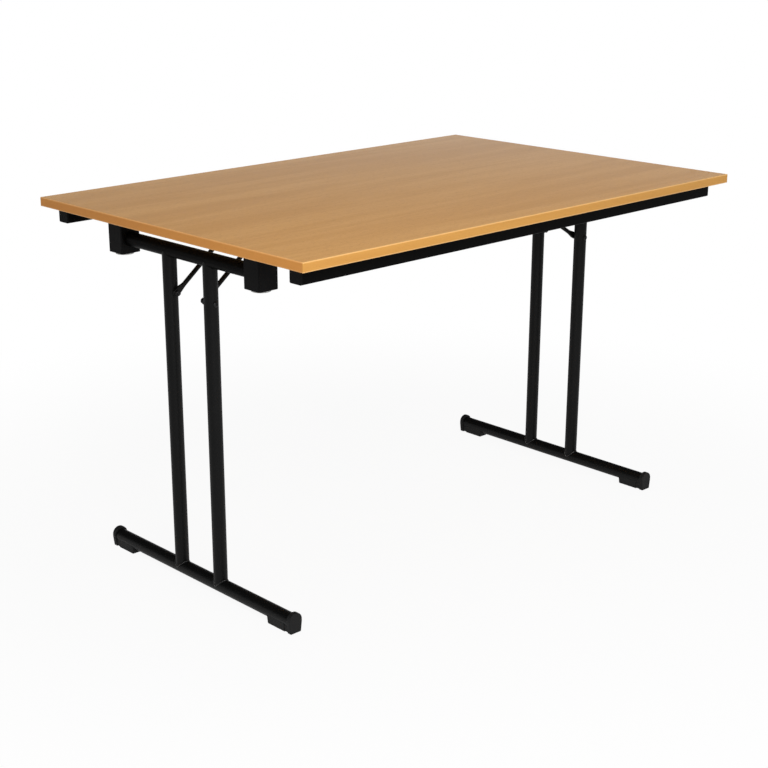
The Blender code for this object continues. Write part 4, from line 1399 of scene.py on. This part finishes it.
def bolt_grid(head_radius, top, tip, across):
    """Over the domed head, back to the shank, along it and its thread, to a chamfered point."""
    seat = top - across * HEAD_HEIGHT
    dome = [
        (
            head_radius * math.sin(t),
            seat + across * (HEAD_FLANK + (HEAD_CROWN - HEAD_FLANK) * math.cos(t)),
        )
        for t in HEAD_ANGLES
    ]
    head = turned([*dome, (head_radius, seat), (BOLT_SHANK, seat)], BOLT_COUNT, "Y")
    thread_start = across * (abs(seat) - BOLT_PLAIN)
    thread_end = tip + across * BOLT_POINT
    thread = thread_grid(
        BOLT_SHANK, BOLT_THREAD_DEPTH, BOLT_PITCH, thread_start, thread_end, BOLT_COUNT, "Y"
    )
    point = turned([(BOLT_SHANK - BOLT_POINT_DRAW, tip)], BOLT_COUNT, "Y")
    return np.concatenate([head, thread, point])


for side_name in SIDES:
    for end, across in ENDS.items():
        node = f"{side_name}_pivot_bolt_{end}"
        lowest, highest, middle = span(node)
        tip, top = (lowest[1], highest[1]) if across > 0 else (highest[1], lowest[1])
        at = (middle[0], 0.0, middle[2])
        grid = bolt_grid((highest[2] - lowest[2]) / 2, top, tip, across)
        bolt = surface(f"{side_name}_bolt_{end}", shift(grid, at))
        socket_floor = top - across * (HEAD_HEIGHT - SOCKET_FLOOR)
        places = (socket_floor, top + across * SOCKET_OVERSHOOT)
        socket = np.array([section(circle(SOCKET_RADIUS, SOCKET_SIDES), place, "Y") for place in places])
        stand_for(combine(bolt, [surface("socket", shift(socket, at))], "DIFFERENCE"), node)

        node = f"{side_name}_pivot_nut_{end}"
        lowest, highest, middle = span(node)
        at = (middle[0], 0.0, middle[2])
        grid = shift(nut_grid(highest[2] - lowest[2], lowest[1], highest[1]), at)
        stand_for(surface(f"{side_name}_nut_{end}", grid, ring=True), node)
print(len(made), "pieces so far; a bolt has", len(bolt.data.polygons), "faces")

# %% [markdown]
# ## Wood screws
#
# The rails, blocks and guides hang from screws in the board. They hardly show, but where one is seen
# up a hole it needs its cross recess. The head and the thread are turned like the bolts', and the
# recess is cut by two thin bars.

# %% Wood screws
SCREW_COUNT = 36
SCREW_SHANK = 2.0 * MM
SCREW_TIP_SHARE = 0.2
SCREW_PITCH = 1.8 * MM
SCREW_THREAD_DEPTH = 0.7 * MM
SCREW_PLAIN = 2.0 * MM
SCREW_POINT = 3.0 * MM
SCREW_HEAD_HEIGHT = 2.2 * MM
SCREW_HEAD_ANGLES = np.linspace(0.25, np.pi / 2, 7)
RECESS_BAR = (4.4 * MM, 0.9 * MM, 0.1 * MM)
RECESS_STEPS = 2
RECESS_DEPTH = 1.3 * MM
RECESS_OVERSHOOT = 1.0 * MM


def screw_grid(base, top, head_radius):
    """Head under the seat, then a threaded shank that narrows to its tip."""
    seat = base + SCREW_HEAD_HEIGHT
    dome = [
        (head_radius * math.sin(t), base + 0.5 * SCREW_HEAD_HEIGHT * (1 - math.cos(t)))
        for t in SCREW_HEAD_ANGLES
    ]
    head = turned([*dome, (head_radius, seat), (SCREW_SHANK, seat)], SCREW_COUNT, "Z")
    thread_ends = (seat + SCREW_PLAIN, top - SCREW_POINT)
    thread = thread_grid(SCREW_SHANK, SCREW_THREAD_DEPTH, SCREW_PITCH, *thread_ends, SCREW_COUNT, "Z")
    tip = turned([(SCREW_SHANK * SCREW_TIP_SHARE, top)], SCREW_COUNT, "Z")
    return np.concatenate([head, thread, tip])


screws = [node for node in SLOT_OF if "screw" in node]
bar_across = rectangle(*RECESS_BAR, RECESS_STEPS)
bar_along = np.stack([-bar_across[:, 1], bar_across[:, 0]], axis=1)
for node in screws:
    lowest, highest, middle = span(node)
    at = (middle[0], middle[1], 0.0)
    grid = screw_grid(lowest[2], highest[2], (highest[0] - lowest[0]) / 2)
    screw = surface(f"{node}_zinc", shift(grid, at))
    places = (lowest[2] - RECESS_OVERSHOOT, lowest[2] + RECESS_DEPTH)
    slots = [
        surface("slot", shift(np.array([section(bar, place, "Z") for place in places]), at))
        for bar in (bar_across, bar_along)
    ]
    stand_for(combine(screw, slots, "DIFFERENCE"), node)
print(len(made), "pieces so far,", len(screws), "of them wood screws")

# %% [markdown]
# ## Guide brackets
#
# A guide is folded from sheet: a web against the board and two flanges. Its section is one strip with
# two bends, carried along the bracket, and only the flanges' depth changes on the way. That depth, and
# the slot, follow the path that the cross rod takes when the frame folds. The path could be drawn by
# eye, but then the rod would leave its slot. It is worked out here from the joints: the pivot turns with
# the leg, and the stay turns back on it in step.

# %% The cross rod's path
COUPLED = {pair["joint"]: pair["ratio"] for pair in RECORD["behaviour"]["couplings"]}
PATH_COUNT = 48


def turn_about(points, centre, angle):
    """Points (inwards, up) turned by an angle about a centre."""
    c, s = np.cos(angle), np.sin(angle)
    d = points - centre
    return centre + np.stack([c * d[..., 0] - s * d[..., 1], s * d[..., 0] + c * d[..., 1]], axis=-1)


def rod_path(side_name):
    """The cross rod's centre as (inwards from the fold axis, height), from upright to folded."""
    fold = JOINTS[f"{side_name}_leg_fold"]
    swing = JOINTS[f"{side_name}_stay_swing"]
    _, _, rod = span(f"{side_name}_stay_rod")
    axis_x, axis_z = fold["pos_m"][0], fold["pos_m"][2]

    def inwards(point):
        """A point in metres as (inwards from the fold axis, height)."""
        return np.array([abs(axis_x) - abs(point[0]), point[2]])

    axis, pivot, start = np.array([0.0, axis_z]), inwards(swing["pos_m"]), inwards(rod)
    leg = np.linspace(0.0, math.radians(fold["range_deg"][1]), PATH_COUNT)
    stay = leg * (1 + COUPLED[f"{side_name}_stay_swing"])
    arm = turn_about((start - pivot)[None, :], np.zeros(2), stay)
    return turn_about(pivot[None, :], axis, leg) + arm


for side_name in SIDES:
    path = rod_path(side_name) / MM
    print(side_name, "rod travels from", path[0].round(1), "to", path[-1].round(1))

# %% Outlines of the guides
ARC_COUNT = 14


def below(path):
    """Unit vectors square to the path, to its right as it is followed: (dx, dy) becomes (dy, -dx)."""
    along = unit_rows(np.gradient(path, axis=0))
    return np.stack([along[:, 1], -along[:, 0]], axis=1)


def end_angles(down):
    """The angles of the first and the last of these vectors."""
    return (math.atan2(normal[1], normal[0]) for normal in (down[0], down[-1]))


def slot_outline(path, half):
    """A band of this half width round the path, with round ends."""
    down = below(path)
    first, last = end_angles(down)
    return np.concatenate(
        [
            path[1:-1] + half * down[1:-1],
            arc(path[-1], half, last, last + math.pi, ARC_COUNT),
            path[-2:0:-1] - half * down[-2:0:-1],
            arc(path[0], half, first + math.pi, first + 2 * math.pi, ARC_COUNT),
        ]
    )


def flange_edge(path, reach):
    """The lower edge of a flange, which keeps this far below the path and beyond its ends."""
    down = below(path)
    first, last = end_angles(down)
    return np.concatenate(
        [
            arc(path[0], reach, -math.pi, first, ARC_COUNT),
            path[1:-1] + reach * down[1:-1],
            arc(path[-1], reach, last, 0.0, ARC_COUNT),
        ]
    )


print("a slot's outline has", len(slot_outline(path, 1.0)), "points")

# %% Guide brackets
GUIDE_SHEET = 2.0 * MM
GUIDE_BEND = 2.5 * MM
GUIDE_BEND_STEPS = 5
GUIDE_MARGIN = 8.0 * MM
SLOT_PLAY = 0.6 * MM


def guide_grid(lower, half, top):
    """Rows along the bracket. Each is the strip's outside from one flange's edge up, over and down to
    the other's, then its inside back."""
    turn = quarter_turn(GUIDE_BEND_STEPS)
    curl = np.stack([np.cos(turn), np.sin(turn)], axis=1)
    outside = (half - GUIDE_BEND, top - GUIDE_BEND) + GUIDE_BEND * curl
    inside = (half - GUIDE_BEND, top - GUIDE_BEND) + (GUIDE_BEND - GUIDE_SHEET) * curl
    rows = []
    for inwards, edge in lower:
        right_out = np.vstack([(half, edge), outside])
        right_in = np.vstack([inside[::-1], (half - GUIDE_SHEET, edge)])
        loop = np.vstack([right_out, right_out[::-1] * (-1, 1), right_in[::-1] * (-1, 1), right_in])
        rows.append(np.column_stack([np.full(len(loop), inwards), loop]))
    return np.array(rows)


for side_name, side in SIDES.items():
    node = f"{side_name}_guide"
    lowest, highest, _ = span(node)
    path = rod_path(side_name)
    axis_x = abs(JOINTS[f"{side_name}_leg_fold"]["pos_m"][0])
    rod_low, rod_high, _ = span(f"{side_name}_stay_rod")
    slot_half = (rod_high[2] - rod_low[2]) / 2 + SLOT_PLAY
    half = (highest[1] - lowest[1]) / 2
    grid = guide_grid(flange_edge(path, slot_half + GUIDE_MARGIN), half, highest[2])
    grid[..., 0] = side * (axis_x - grid[..., 0])
    guide = surface(f"{side_name}_guide_sheet", grid)
    outline = slot_outline(path, slot_half)
    outline[:, 0] = side * (axis_x - outline[:, 0])
    slot = [section(outline, y, "Y") for y in (-half - OVERSHOOT, half + OVERSHOOT)]
    combine(guide, [surface("slot", np.array(slot))], "DIFFERENCE")
    holes = []
    for end in ("outer", "inner"):
        _, _, screw = span(f"{side_name}_guide_screw_{end}")
        low, high = highest[2] - 2 * GUIDE_SHEET, highest[2] + OVERSHOOT
        holes.append((SCREW_HOLE, "Z", low, high, (screw[0], screw[1], 0.0)))
    stand_for(bored(guide, *holes), node)
print(len(made), "pieces so far; the slots are", round(2 * slot_half / MM, 1), "mm wide")

# %% [markdown]
# ## What still shows
#
# Every solid but the board now has a finer piece in its place. This cell prints what still shows, so a
# forgotten part can't slip through, and then the bounds of everything shown are measured.

# %% Solids that still show
showing = {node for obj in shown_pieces() for node in frame["nodes"] if obj.name == node}
print("solids that still show:", sorted(showing))
print(len(made), "pieces made")

# %% Sizes and finish
low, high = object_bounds()
